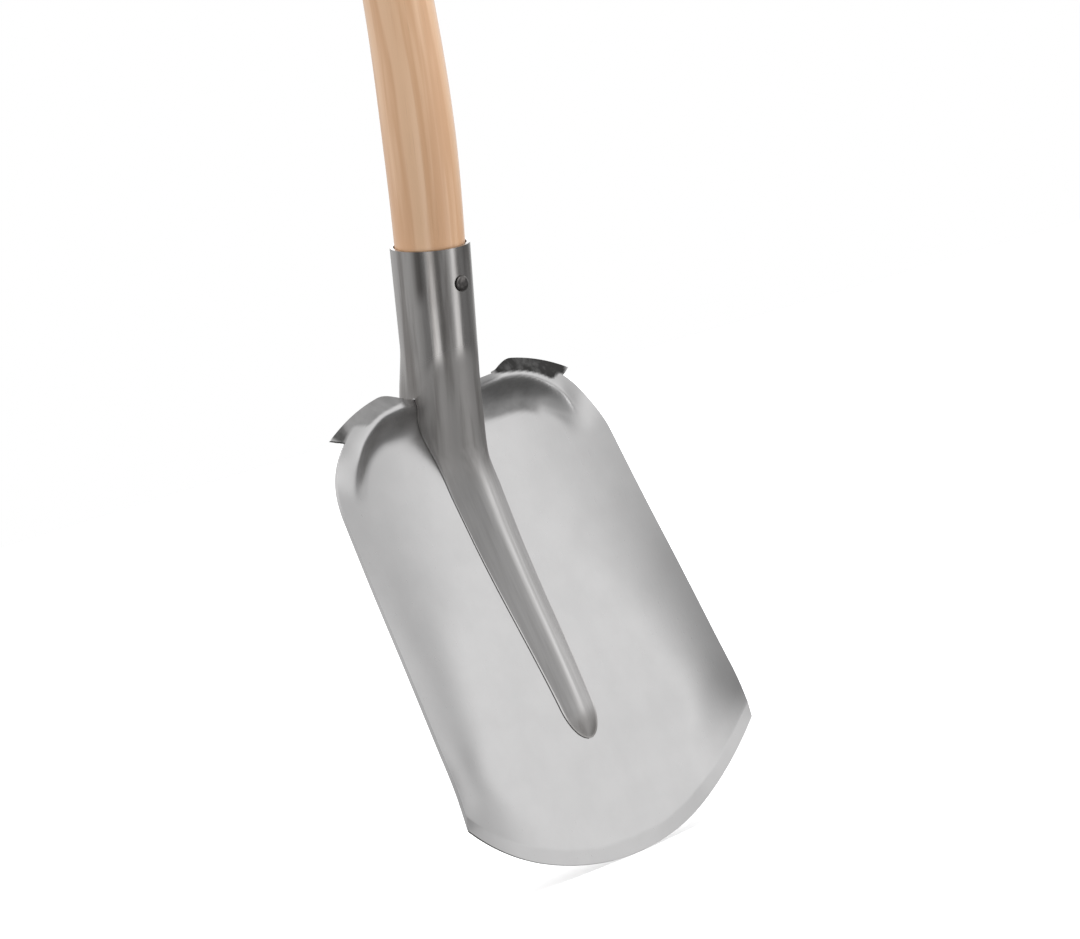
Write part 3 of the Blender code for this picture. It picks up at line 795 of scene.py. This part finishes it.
def tread_strip(form, inner):
    """Rows of points outside the shoulder's outline, growing out of the top edge to a cut end."""
    blade = form.blade
    top_z = blade.length + blade.tread_rise
    reach = blade.tread_tip - blade.tread_inner
    drop = blade.tread_rise + blade.tread_drop
    radius = (reach**2 + drop**2) / (2 * drop)
    end_angle = math.asin(reach / radius)
    start = inner[0][0]
    span = inner[-1][0] - start
    rows = [[] for _ in range(TREAD_ROWS)]
    for x, z in inner:
        angle = end_angle * (x - start) / span
        outer_x = blade.tread_inner + radius * math.sin(angle)
        outer_z = top_z - radius * (1 - math.cos(angle))
        grown = mix(TREAD_FIRST, 1.0, smoothstep(x, start, start + TREAD_GROWTH * span))
        for k, row in enumerate(rows):
            share = (k + 1) / TREAD_ROWS * grown
            row.append((mix(x, outer_x, share), mix(z, outer_z, share)))
    return rows


def blade_half(form):
    """Places on the right half of the blade and its tread, and the quads between them."""
    grid = blade_grid(form)
    rows, columns = grid.shape[:2]
    first = int(np.argmax(grid[-1, :, 0] >= form.blade.tread_inner))
    strip = tread_strip(form, grid[-1, first:])
    faces = grid_faces(rows, columns)
    width = columns - first
    below = rows * columns - width
    for k in range(TREAD_ROWS):
        above = rows * columns + k * width
        faces += [(below + i, below + i + 1, above + i + 1, above + i) for i in range(width - 1)]
        below = above
    return np.vstack((grid.reshape(-1, 2), *strip)), faces


def painted_shade_and_scale(form, x, z):
    """How much painted shade, partly mill scale, lies at a place on the blade: 0 where it is polished, 1 on
    the right tread.
    """
    blade = form.blade
    marks = RIGHT_MARKS if x > 0 else LEFT_MARKS
    x = abs(x)
    inside, along = form.nearest(x, z)
    share = along / form.length
    band, slope = form.rim.at(share)[:2]
    foot = band + slope + marks.margin
    arc = smoothstep(inside, foot, foot - ARC_EDGES[0]) * smoothstep(inside, band, band + ARC_EDGES[1])
    arc *= smoothstep(share, marks.arc_start, marks.arc_full)
    arc *= ARC_STRENGTH + marks.near_gain * smoothstep(x, marks.near_far, marks.near_close)
    out = clamp((x - blade.tread_inner) / (blade.tread_tip - blade.tread_inner))
    lip = mix(*LIP, out) * (1.0 - smoothstep(out, marks.lip_end, marks.lip_end + LIP_FADE))
    tread = smoothstep(inside, lip + LIP_EDGES[0], lip + LIP_EDGES[1])
    tread *= smoothstep(out, *TREAD_ACROSS) * smoothstep(share, *TREAD_ALONG)
    tread *= mix(marks.inner_tread, marks.outer_tread, smoothstep(out, *TREAD_OUTER))
    return max(arc, tread)


def make_blade(shovel):
    """Pressed blade: floor, raised rim, treads and a ground cutting edge."""
    blade = shovel.blade
    form = BladeForm(blade)
    flat, faces = blade_half(form)
    front = np.array([(x, -form.height(x, z), z) for x, z in flat])
    normals = sheet_normals(front, faces)
    middle = flat[:, 0] < 1e-9
    normals[middle, 0] = 0.0
    normals /= np.linalg.norm(normals, axis=1)[:, None]
    back = front - normals * blade.sheet
    for point in front:
        grind = blade.grind_length * (1.0 + 0.10 * ripple(point[0], 0.0, 0.0, 0.018))
        share = max(0.0, 1.0 - (point[2] - form.edge_z(point[0])) / grind)
        point[1] += (blade.sheet - blade.edge_thickness) * share
    # Painted shade and scale at each point, the left half with its own marks.
    scale = [painted_shade_and_scale(form, x, z) for x, z in flat]
    scale += [painted_shade_and_scale(form, -x, z) for x, z in flat[~middle]]

    other = np.arange(len(flat))
    other[~middle] = len(flat) + np.arange(int((~middle).sum()))
    flip = np.array((-1.0, 1.0, 1.0))
    faces += [tuple(int(other[i]) for i in reversed(face)) for face in faces]
    front = np.vstack((front, front[~middle] * flip))
    back = np.vstack((back, back[~middle] * flip))
    points, closed = shell(front, back, faces)
    piece = new_piece("pressed_blade", points, closed, polished_steel(shovel))
    store(piece.data, "blade_place", points)
    store(piece.data, "scale_and_painted_shade", scale + scale)
    piece.data.transform(placement(shovel))
    soften_edges(piece, 0.00035)
    return piece


def socket_axis(shovel, below_mouth):
    """Point on the socket's axis."""
    socket = shovel.socket
    crossing = Vector((0.0, socket.axis_depth, shovel.blade.length))
    down = Vector((0.0, math.sin(socket.lean), -math.cos(socket.lean)))
    return crossing + down * (below_mouth - socket.length)


def socket_radius(socket, below_mouth):
    return mix(socket.mouth_radius, socket.neck_radius, clamp(below_mouth / socket.length))


def tube_section(shovel, below_mouth, open_angle, spread=0.0):
    """Points round the socket from one edge of its seam, past the front, to the other.

    Square to the axis at a spread of 0. At a spread of 1 it is level, and its open edges flare out.
    """
    socket = shovel.socket
    centre = socket_axis(shovel, below_mouth)
    tilt = socket.lean * (1.0 - spread)
    across = Vector((0.0, math.cos(tilt), math.sin(tilt))) / math.cos(socket.lean - tilt)
    points = []
    for share in shares(SOCKET_STEPS):
        angle = open_angle * (2.0 * share - 1.0)
        uneven = 1.0 + 0.0035 * ripple(math.sin(angle), math.cos(angle), below_mouth * 4.0, 0.33)
        uneven += socket.neck_flare * spread * smoothstep(math.degrees(abs(angle)), 95.0, 145.0)
        radius = socket_radius(socket, below_mouth) * uneven
        side = Vector((radius * math.sin(angle), 0.0, 0.0))
        points.append(centre + side - across * (radius * math.cos(angle)))
    return points


def tube_front(shovel, z, x):
    """How far forward the front of the round tube is, where it runs down through the blade."""
    socket = shovel.socket
    axis = (z - shovel.blade.length) * math.tan(socket.lean) - socket.axis_depth
    across = min(abs(x) / socket.neck_radius, 1.0)
    return axis + socket.neck_radius / math.cos(socket.lean) * math.sqrt(1.0 - across**2)


def rib_shape(shovel, form, z):
    """Half width of the socket's tongue at a height, and half width and height of the ridge on it."""
    socket = shovel.socket
    grown = (z - socket.rib_nose_start_z) / (socket.rib_full_width_z - socket.rib_nose_start_z)
    ridge = mix(socket.rib_end_half_width, socket.rib_half_width, clamp(grown))
    height = mix(socket.rib_end_height, socket.rib_top_height, grown)
    nose = (socket.rib_nose_start_z - z) / (socket.rib_nose_start_z - socket.rib_nose_z)
    if nose > 0:
        ridge *= math.sqrt(max(1.0 - nose**2, NOSE_LEAST[0]))
        height *= max(1.0 - nose**4, NOSE_LEAST[1])
    foot = form.height(socket.neck_radius, z) + socket.clearance + socket.foot
    depth = (foot - tube_front(shovel, z, 0.0)) / (socket.neck_radius / math.cos(socket.lean)) + 1.0
    if depth >= 1.0:
        return ridge, ridge, height
    chord = socket.neck_radius * math.sqrt(1.0 - depth**2)
    return smooth_max(chord, ridge, CHORD_BLEND), ridge, height


def rib_section(shovel, form, z):
    """Points across the tongue, from its left foot over its crest to its right foot."""
    socket = shovel.socket
    width, ridge, height = rib_shape(shovel, form, z)
    middle = form.height(0.0, z)
    side = form.height(width, z)
    crest = socket.rib_crest
    top_z = shovel.blade.length - RIB_START
    softness = socket.rib_blend * smoothstep(z, top_z, top_z - RIB_SOFTENS)
    points = []
    for share in shares(SOCKET_STEPS):
        out = math.sin(math.pi / 2 * (2.0 * share - 1.0))
        x = width * out
        under = max(form.height(x, z), mix(middle, side, abs(out)))
        foot = under + socket.clearance + socket.foot
        across = min(abs(x) / ridge, 1.0)
        roof = (math.hypot(1.0, crest) - math.hypot(across, crest)) / (math.hypot(1.0, crest) - crest)
        top = smooth_max(middle + height * roof, tube_front(shovel, z, x), softness)
        edge = smoothstep(abs(out), 1.0, 0.96)
        points.append(Vector((x, -foot - max(top - foot, 0.0) * edge, z)))
    return points


def socket_sections(shovel, form):
    """Sections of the socket from its mouth down to the nose of its rib."""
    socket = shovel.socket
    foot = form.height(socket.neck_radius, shovel.blade.length) + socket.clearance + socket.foot
    neck_angle = math.acos((foot + socket.axis_depth) * math.cos(socket.lean) / socket.neck_radius)
    closed_angle = math.pi - socket.seam_gap / (2 * socket.mouth_radius)
    cut = socket.length - socket.neck_cut / math.cos(socket.lean)
    closed = cut - socket.seam_opening
    nose_z = socket.rib_nose_start_z
    sections = [tube_section(shovel, closed * share, closed_angle) for share in shares(TUBE_RINGS)]
    for share in shares(OPENING_RINGS, first=1):
        angle = mix(closed_angle, socket.neck_open, share**2)
        sections.append(tube_section(shovel, mix(closed, cut, share), angle, smoothstep(share)))
    for share in shares(NECK_RINGS, first=1):
        below = mix(cut, socket.length - socket.clearance, share)
        sections.append(tube_section(shovel, below, mix(socket.neck_open, neck_angle, share), 1.0))
    heights = mix(shovel.blade.length - RIB_START, nose_z, shares(RIB_ROWS) ** ROWS_CLOSER_UP)
    rounding = np.sin(math.pi / 2 * shares(NOSE_ROWS, first=1))
    for z in np.concatenate((heights, mix(nose_z, socket.rib_nose_z, rounding))):
        sections.append(rib_section(shovel, form, z))
    return sections


def socket_marks(points, socket):
    """What the forged steel reads: its place, bright wear, dull steel and a painted reflection of the wood
    under the mouth.
    """
    z = points[:, 2]
    upright = points.copy()
    upright[:, 1] += math.tan(socket.lean) * np.maximum(z - UPRIGHT_FROM, 0.0)
    worn = smoothstep(z, *WORN_FROM_TOP) * smoothstep(z, *WORN_FROM_NOSE)
    mouth = upright[z > MOUTH_FROM, 1]
    turned = np.degrees(np.arctan2(points[:, 0], (mouth.max() + mouth.min()) / 2 - upright[:, 1]))
    # Painted reflection of the wood: a narrow dark band at a fixed turn round the socket, full just under
    # the mouth.
    streak = np.exp(-(((turned - WOOD_REFLECTION_TURN) / WOOD_REFLECTION_WIDTH) ** 2))
    return {
        "steel_place": upright,
        "worn": worn,
        "dull": smoothstep(z, *DULL) * (1.0 - worn),
        "painted_wood_reflection": WOOD_REFLECTION_STRENGTH * streak * smoothstep(z, *WOOD_REFLECTION_HEIGHTS),
    }


def make_socket(shovel):
    """Rolled socket, open at a seam behind, and the rib that runs down the blade's face."""
    socket = shovel.socket
    form = BladeForm(shovel.blade)
    sections = socket_sections(shovel, form)
    outer = np.array([tuple(p) for section in sections for p in section])
    faces = [tuple(reversed(face)) for face in grid_faces(len(sections), SOCKET_STEPS + 1)]
    inner = outer - sheet_normals(outer, faces) * socket.wall
    for point in inner:
        if point[2] < shovel.blade.length + shovel.blade.sheet:
            point[1] = min(point[1], -form.height(point[0], point[2]) - socket.clearance)
    points, closed = shell(outer, inner, faces)
    piece = new_piece("rolled_socket", points, closed, forged_steel(shovel))
    for name, values in socket_marks(points, socket).items():
        store(piece.data, name, values)
    piece.data.transform(placement(shovel))
    soften_edges(piece, 0.0003)
    surface, outward = nail_place(shovel)
    radius = shovel.nail.radius + shovel.nail.gap
    drill(piece, surface - outward * (HOLE_DEPTH / 2), outward, HOLE_DEPTH, radius)
    return piece


def handle_path(shovel):
    """Centre line of the handle in the blade's plane: points, directions and distances above the mouth."""
    handle = shovel.handle
    start_lean = shovel.socket.lean
    bend_end = handle.straight_start + handle.bend * handle.bend_radius
    end = handle.length - handle.in_socket - handle.dome
    bend = mix(-handle.in_socket, bend_end, shares(BEND_RINGS))
    straight = mix(bend_end, end, shares(STRAIGHT_RINGS, first=1))
    path = []
    for s in (*bend, *straight):
        bent = min(max((s - handle.straight_start) / handle.bend_radius, 0.0), handle.bend)
        lean = start_lean - bent
        point = socket_axis(shovel, -min(s, handle.straight_start))
        point.y += handle.bend_radius * (math.cos(start_lean) - math.cos(lean))
        point.z += handle.bend_radius * (math.sin(start_lean) - math.sin(lean))
        direction = Vector((0.0, -math.sin(lean), math.cos(lean)))
        path.append((point + direction * max(s - bend_end, 0.0), direction, s))
    return path


def handle_rings(shovel):
    """Points on the handle's centre line with the radius of the wood there, ends included."""
    handle = shovel.handle
    shape = SmoothTable(HANDLE_SHAPE)
    path = handle_path(shovel)
    rings = []
    for point, _, s in path:
        inside = socket_radius(shovel.socket, -s) - shovel.socket.wall - handle.clearance
        rings.append((point, shape.at(s)[0] if s >= 0 else min(inside, HANDLE_SHAPE[0][1])))
    first, radius = rings[0]
    rings[0] = (first + path[0][1] * handle.chamfer, radius)
    rings.insert(0, (first, radius - handle.chamfer))
    last, full = rings[-1]
    top_turn = math.acos(handle.end_flat / full)
    for turned in top_turn * shares(DOME_RINGS, first=1):
        lift = handle.dome * math.sin(turned) / math.sin(top_turn)
        rings.append((last + path[-1][1] * lift, full * math.cos(turned)))
    return rings


def sweep_tree(material):
    """Geometry Nodes that sweep a round section along a curve, as thick as the curve's radius."""
    tree = bpy.data.node_groups.new("swept_handle", "GeometryNodeTree")
    face = tree.interface
    face.new_socket("Curve", in_out="INPUT", socket_type="NodeSocketGeometry")
    sides = face.new_socket("Sides", in_out="INPUT", socket_type="NodeSocketInt")
    wood = face.new_socket("Wood", in_out="INPUT", socket_type="NodeSocketMaterial")
    wood.default_value = material
    face.new_socket("Mesh", in_out="OUTPUT", socket_type="NodeSocketGeometry")
    entry = tree.nodes.new("NodeGroupInput").outputs
    circle = node(tree, "GeometryNodeCurvePrimitiveCircle", {"Resolution": entry["Sides"], "Radius": 1.0})
    section = node(tree, "GeometryNodeCaptureAttribute", {"Geometry": circle.outputs["Curve"]})
    section.capture_items.new("VECTOR", "Across")
    feed(tree, section, {1: node(tree, "GeometryNodeInputPosition").outputs[0]})
    line = node(tree, "GeometryNodeCaptureAttribute", {"Geometry": entry["Curve"]})
    line.capture_items.new("FLOAT", "Along")
    line.capture_items.new("FLOAT", "Thickness")
    along = node(tree, "GeometryNodeSplineParameter").outputs["Length"]
    feed(tree, line, {1: along, 2: node(tree, "GeometryNodeInputRadius").outputs[0]})
    thickness = line.outputs["Thickness"]
    ends = {"Curve": line.outputs["Geometry"], "Profile Curve": section.outputs["Geometry"]}
    swept = node(tree, "GeometryNodeCurveToMesh", {**ends, "Scale": thickness, "Fill Caps": True})
    across = {0: section.outputs["Across"], "Scale": thickness}
    scaled = node(tree, "ShaderNodeVectorMath", across, operation="SCALE").outputs[0]
    parts = node(tree, "ShaderNodeSeparateXYZ", {0: scaled}).outputs
    place = node(tree, "ShaderNodeCombineXYZ", {0: parts["X"], 1: parts["Y"], 2: line.outputs["Along"]})
    kept = {"Geometry": swept.outputs["Mesh"], "Name": "wood_place"}
    stored = node(tree, "GeometryNodeStoreNamedAttribute", kept, data_type="FLOAT_VECTOR", domain="POINT")
    feed(tree, stored, {"Value": place.outputs[0]})
    real = node(tree, "GeometryNodeRealizeInstances", {"Geometry": stored.outputs["Geometry"]}).outputs[0]
    painted = node(tree, "GeometryNodeSetMaterial", {"Geometry": real, "Material": entry["Wood"]})
    node(tree, "NodeGroupOutput", {0: painted.outputs[0]})
    return tree, sides.identifier, wood.identifier


def swept_handle(shovel):
    """The handle, swept along its curved centre line by Geometry Nodes."""
    rings = handle_rings(shovel)
    place = placement(shovel)
    line = bpy.data.curves.new("handle_line", "CURVE")
    line.dimensions = "3D"
    spline = line.splines.new("POLY")
    spline.points.add(len(rings) - 1)
    for point, (centre, radius) in zip(spline.points, rings):
        point.co = (*(place @ centre), 1.0)
        point.radius = radius
    guide = link("handle_line", line)
    wood = ash_wood(shovel)
    sweep = guide.modifiers.new("sweep", "NODES")
    sweep.node_group, sides, material = sweep_tree(wood)
    sweep[sides] = shovel.handle.sides
    sweep[material] = wood
    mesh = finished_mesh(guide)
    mesh.name = "ash_handle"
    bpy.data.objects.remove(guide, do_unlink=True)
    mesh.shade_smooth()
    mesh.set_sharp_from_angle(angle=math.radians(50.0))
    return link("ash_handle", mesh)


def make_handle(shovel):
    """Ash handle with the hole for the nail."""
    piece = swept_handle(shovel)
    grain = [item.vector.copy() for item in piece.data.attributes["wood_place"].data]
    nearest = KDTree(len(grain))
    for vertex in piece.data.vertices:
        nearest.insert(vertex.co, vertex.index)
    nearest.balance()
    surface, outward = nail_place(shovel)
    nail = shovel.nail
    reach = nail.length + 2 * nail.gap
    drill(piece, surface - outward * reach, outward, reach + shovel.socket.wall, nail.radius + nail.gap)

    # The boolean empties the grain's attribute, so each point takes that of the nearest one from before
    mesh = piece.data
    mesh.attributes.remove(mesh.attributes["wood_place"])
    store(mesh, "wood_place", [grain[nearest.find(vertex.co)[1]] for vertex in mesh.vertices])
    return piece


def nail_place(shovel):
    """Where the nail meets the socket's outside, and its direction outwards, in the finished pose."""
    socket = shovel.socket
    below = shovel.nail.below_mouth
    outward = Vector((0.0, -math.cos(socket.lean), -math.sin(socket.lean)))
    surface = socket_axis(shovel, below) + outward * socket_radius(socket, below)
    place = placement(shovel)
    return place @ surface, (place.to_3x3() @ outward).normalized()


def make_nail(shovel):
    """Round-headed nail, pointed at its end."""
    nail = shovel.nail
    surface, outward = nail_place(shovel)
    tip, point = NAIL_POINT
    profile = [(-nail.length, tip), (-nail.length + point, nail.radius), (nail.gap, nail.radius)]
    profile.append((nail.gap, nail.head_radius * HEAD_UNDERSIDE))
    for turned in np.radians(mix(*HEAD_ARC, shares(HEAD_RINGS))):
        radius = nail.head_radius * math.cos(turned) ** HEAD_SIDES
        profile.append((nail.gap + nail.head_height * math.sin(turned), radius))
    across = Vector((0.0, outward.z, -outward.y))
    points = []
    for out, radius in profile:
        for share in shares(NAIL_STEPS)[:-1]:
            angle = 2 * math.pi * share
            side = Vector((math.sin(angle), 0.0, 0.0)) - across * math.cos(angle)
            if out > nail.gap:
                side *= 1.0 + 0.03 * ripple(math.sin(angle), math.cos(angle), out * 300.0, 0.8)
            points.append(surface + outward * out + side * radius)
    starts = range(0, len(points) - NAIL_STEPS, NAIL_STEPS)
    ring = [(k, (k + 1) % NAIL_STEPS) for k in range(NAIL_STEPS)]
    faces = [(r + a, r + b, r + b + NAIL_STEPS, r + a + NAIL_STEPS) for r in starts for a, b in ring]
    faces.append(tuple(reversed(range(NAIL_STEPS))))
    faces.append(tuple(range(len(points) - NAIL_STEPS, len(points))))
    piece = new_piece("round_head_nail", points, faces, bare_nail_steel(shovel))
    piece.data.shade_smooth()
    piece.data.set_sharp_from_angle(angle=math.radians(45.0))
    return piece


def rise(tree, angle, low, high, start=0.0, end=1.0):
    """A ramp between two angles in degrees."""
    return ramp(tree, angle, math.radians(low), math.radians(high), start, end)


def soft_box(tree, azimuth, elevation, box):
    """Brightness of a panel of light in the direction of an azimuth and elevation."""
    off = maths(tree, "WRAP", maths(tree, "SUBTRACT", azimuth, math.radians(box.centre)), math.pi, -math.pi)
    higher = maths(tree, "SUBTRACT", elevation, math.radians(SLANT_LEVEL))
    slanted = maths(tree, "SUBTRACT", off, maths(tree, "MULTIPLY", higher, box.slant))
    limits = (
        (slanted, box.edges[0], box.blurs[0]),
        (off, box.edges[1], -box.blurs[1]),
        (elevation, box.ends[0], box.blurs[2]),
        (elevation, box.ends[1], -box.blurs[3]),
    )
    weight = 1.0
    for angle, where, blur in limits:
        weight = maths(tree, "MULTIPLY", weight, rise(tree, angle, where - blur, where + blur))
    return maths(tree, "MULTIPLY", weight, box.strength)


def studio_world():
    """White backdrop for the camera. The pieces see a soft sky with panels of light instead."""
    world = bpy.data.worlds.new("studio")
    world.use_nodes = True
    tree = world.node_tree
    tree.nodes.clear()
    away = node(tree, "ShaderNodeTexCoord").outputs["Generated"]
    parts = node(tree, "ShaderNodeSeparateXYZ", {0: away}).outputs
    azimuth = maths(tree, "ARCTAN2", parts["X"], maths(tree, "MULTIPLY", parts["Y"], -1.0))
    elevation = maths(tree, "ARCSINE", parts["Z"])
    total = maths(tree, "MULTIPLY", rise(tree, elevation, *SKY), rise(tree, elevation, *GROUND))
    for box in SOFT_BOXES:
        total = maths(tree, "ADD", total, soft_box(tree, azimuth, elevation, box))
    rays = node(tree, "ShaderNodeLightPath").outputs
    fill = maths(tree, "MULTIPLY", rays["Is Diffuse Ray"], ramp(tree, parts["X"], *FILL))
    total = maths(tree, "MULTIPLY", total, maths(tree, "ADD", fill, 1.0))
    glow = node(tree, "ShaderNodeBackground", {"Strength": total}).outputs[0]
    backdrop = node(tree, "ShaderNodeBackground", {"Color": (1.0, 1.0, 1.0, 1.0)}).outputs[0]
    mixed = node(tree, "ShaderNodeMixShader", {0: rays["Is Camera Ray"], 1: glow, 2: backdrop}).outputs[0]
    node(tree, "ShaderNodeOutputWorld", {"Surface": mixed})
    return world


def light_the_studio(studio):
    """World of soft panels, and one soft light from above."""
    bpy.context.scene.world = studio_world()
    lamp = bpy.data.lights.new("overhead", "SUN")
    lamp.energy = studio.overhead
    lamp.angle = math.radians(50.0)
    link("overhead", lamp).rotation_euler = (math.radians(8.0), math.radians(-10.0), 0.0)


def make_floor(studio):
    """Plain pale floor. The steel reflects the studio's panels instead of it."""
    material, tree, shader = new_material("pale_floor", studio.floor)
    cloud = speckle(tree, node(tree, "ShaderNodeTexCoord").outputs["Object"], 3.0, 4.0)
    colour = blend(tree, cloud, studio.floor, darker(studio.floor, 0.985))
    feed(tree, shader, {"Base Color": colour, "Roughness": 0.9, "Specular IOR Level": 0.0})
    reach = 30.0
    corners = [(-reach, -reach, 0.0), (reach, -reach, 0.0), (reach, reach, 0.0), (-reach, reach, 0.0)]
    floor = new_piece("floor", corners, [(0, 1, 2, 3)], material)
    floor.visible_glossy = False
    floor.visible_diffuse = False
    return floor


def make_camera(studio):
    """Camera at the picture's viewing angle."""
    back = Vector(VIEW_BACK).normalized()
    right = Vector(VIEW_UP).cross(back).normalized()
    turned = Matrix((right, back.cross(right), back)).transposed().to_4x4()
    lens = bpy.data.cameras.new("camera")
    lens.sensor_width = 36.0
    lens.lens = studio.lens
    lens.clip_start = 0.05
    camera = link("camera", lens)
    camera.matrix_world = Matrix.Translation(Vector(studio.eye)) @ turned
    bpy.context.scene.camera = camera


class SHOVEL_OT_blade(Operator):
    """Press the blade, with its treads and ground edge"""

    bl_idname = "shovel.blade"
    bl_label = "Blade"

    def execute(self, context):
        piece = make_blade(context.scene.shovel)
        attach(piece, "root")
        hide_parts("blade")
        return {"FINISHED"}


class SHOVEL_OT_socket(Operator):
    """Roll the socket, with the rib on the blade's face"""

    bl_idname = "shovel.socket"
    bl_label = "Socket and rib"

    def execute(self, context):
        piece = make_socket(context.scene.shovel)
        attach(piece, "root")
        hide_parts("socket")
        return {"FINISHED"}


class SHOVEL_OT_handle(Operator):
    """Sweep the handle along its curved centre line"""

    bl_idname = "shovel.handle"
    bl_label = "Handle"

    def execute(self, context):
        piece = make_handle(context.scene.shovel)
        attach(piece, "root")
        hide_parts("handle")
        return {"FINISHED"}


class SHOVEL_OT_nail(Operator):
    """Drive the nail through the socket into the wood"""

    bl_idname = "shovel.nail"
    bl_label = "Nail"

    def execute(self, context):
        piece = make_nail(context.scene.shovel)
        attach(piece, "root")
        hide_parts("nail")
        return {"FINISHED"}


class SHOVEL_OT_stage(Operator):
    """Set up the floor, the light and the camera"""

    bl_idname = "shovel.stage"
    bl_label = "Floor, light and camera"

    def execute(self, context):
        studio = context.scene.shovel.studio
        make_floor(studio)
        light_the_studio(studio)
        make_camera(studio)
        context.scene.view_settings.view_transform = "Standard"
        return {"FINISHED"}


class SHOVEL_PT_parts(Panel):
    """Lists the shovel's pieces and their sizes"""

    bl_label = "Sand shovel"
    bl_space_type = "VIEW_3D"
    bl_region_type = "UI"
    bl_category = "Shovel"

    def draw(self, context):
        shovel = context.scene.shovel
        for operator, group in zip(OPERATORS, ShovelSettings.__annotations__):
            box = self.layout.box()
            box.operator(operator.bl_idname)
            settings = getattr(shovel, group)
            for name in settings.__annotations__:
                box.prop(settings, name)


OPERATORS = (SHOVEL_OT_blade, SHOVEL_OT_socket, SHOVEL_OT_handle, SHOVEL_OT_nail, SHOVEL_OT_stage)
CLASSES = (
    BladeSettings,
    SocketSettings,
    HandleSettings,
    NailSettings,
    StudioSettings,
    ShovelSettings,
    *OPERATORS,
    SHOVEL_PT_parts,
)


def register():
    for kind in CLASSES:
        bpy.utils.register_class(kind)
    bpy.types.Scene.shovel = PointerProperty(type=ShovelSettings, name="Shovel", description="All sizes")


def unregister():
    del bpy.types.Scene.shovel
    for kind in reversed(CLASSES):
        bpy.utils.unregister_class(kind)


def main():
    register()
    bpy.ops.shovel.blade()
    bpy.ops.shovel.socket()
    bpy.ops.shovel.handle()
    bpy.ops.shovel.nail()
    bpy.ops.shovel.stage()


if __name__ == "__main__":
    main()
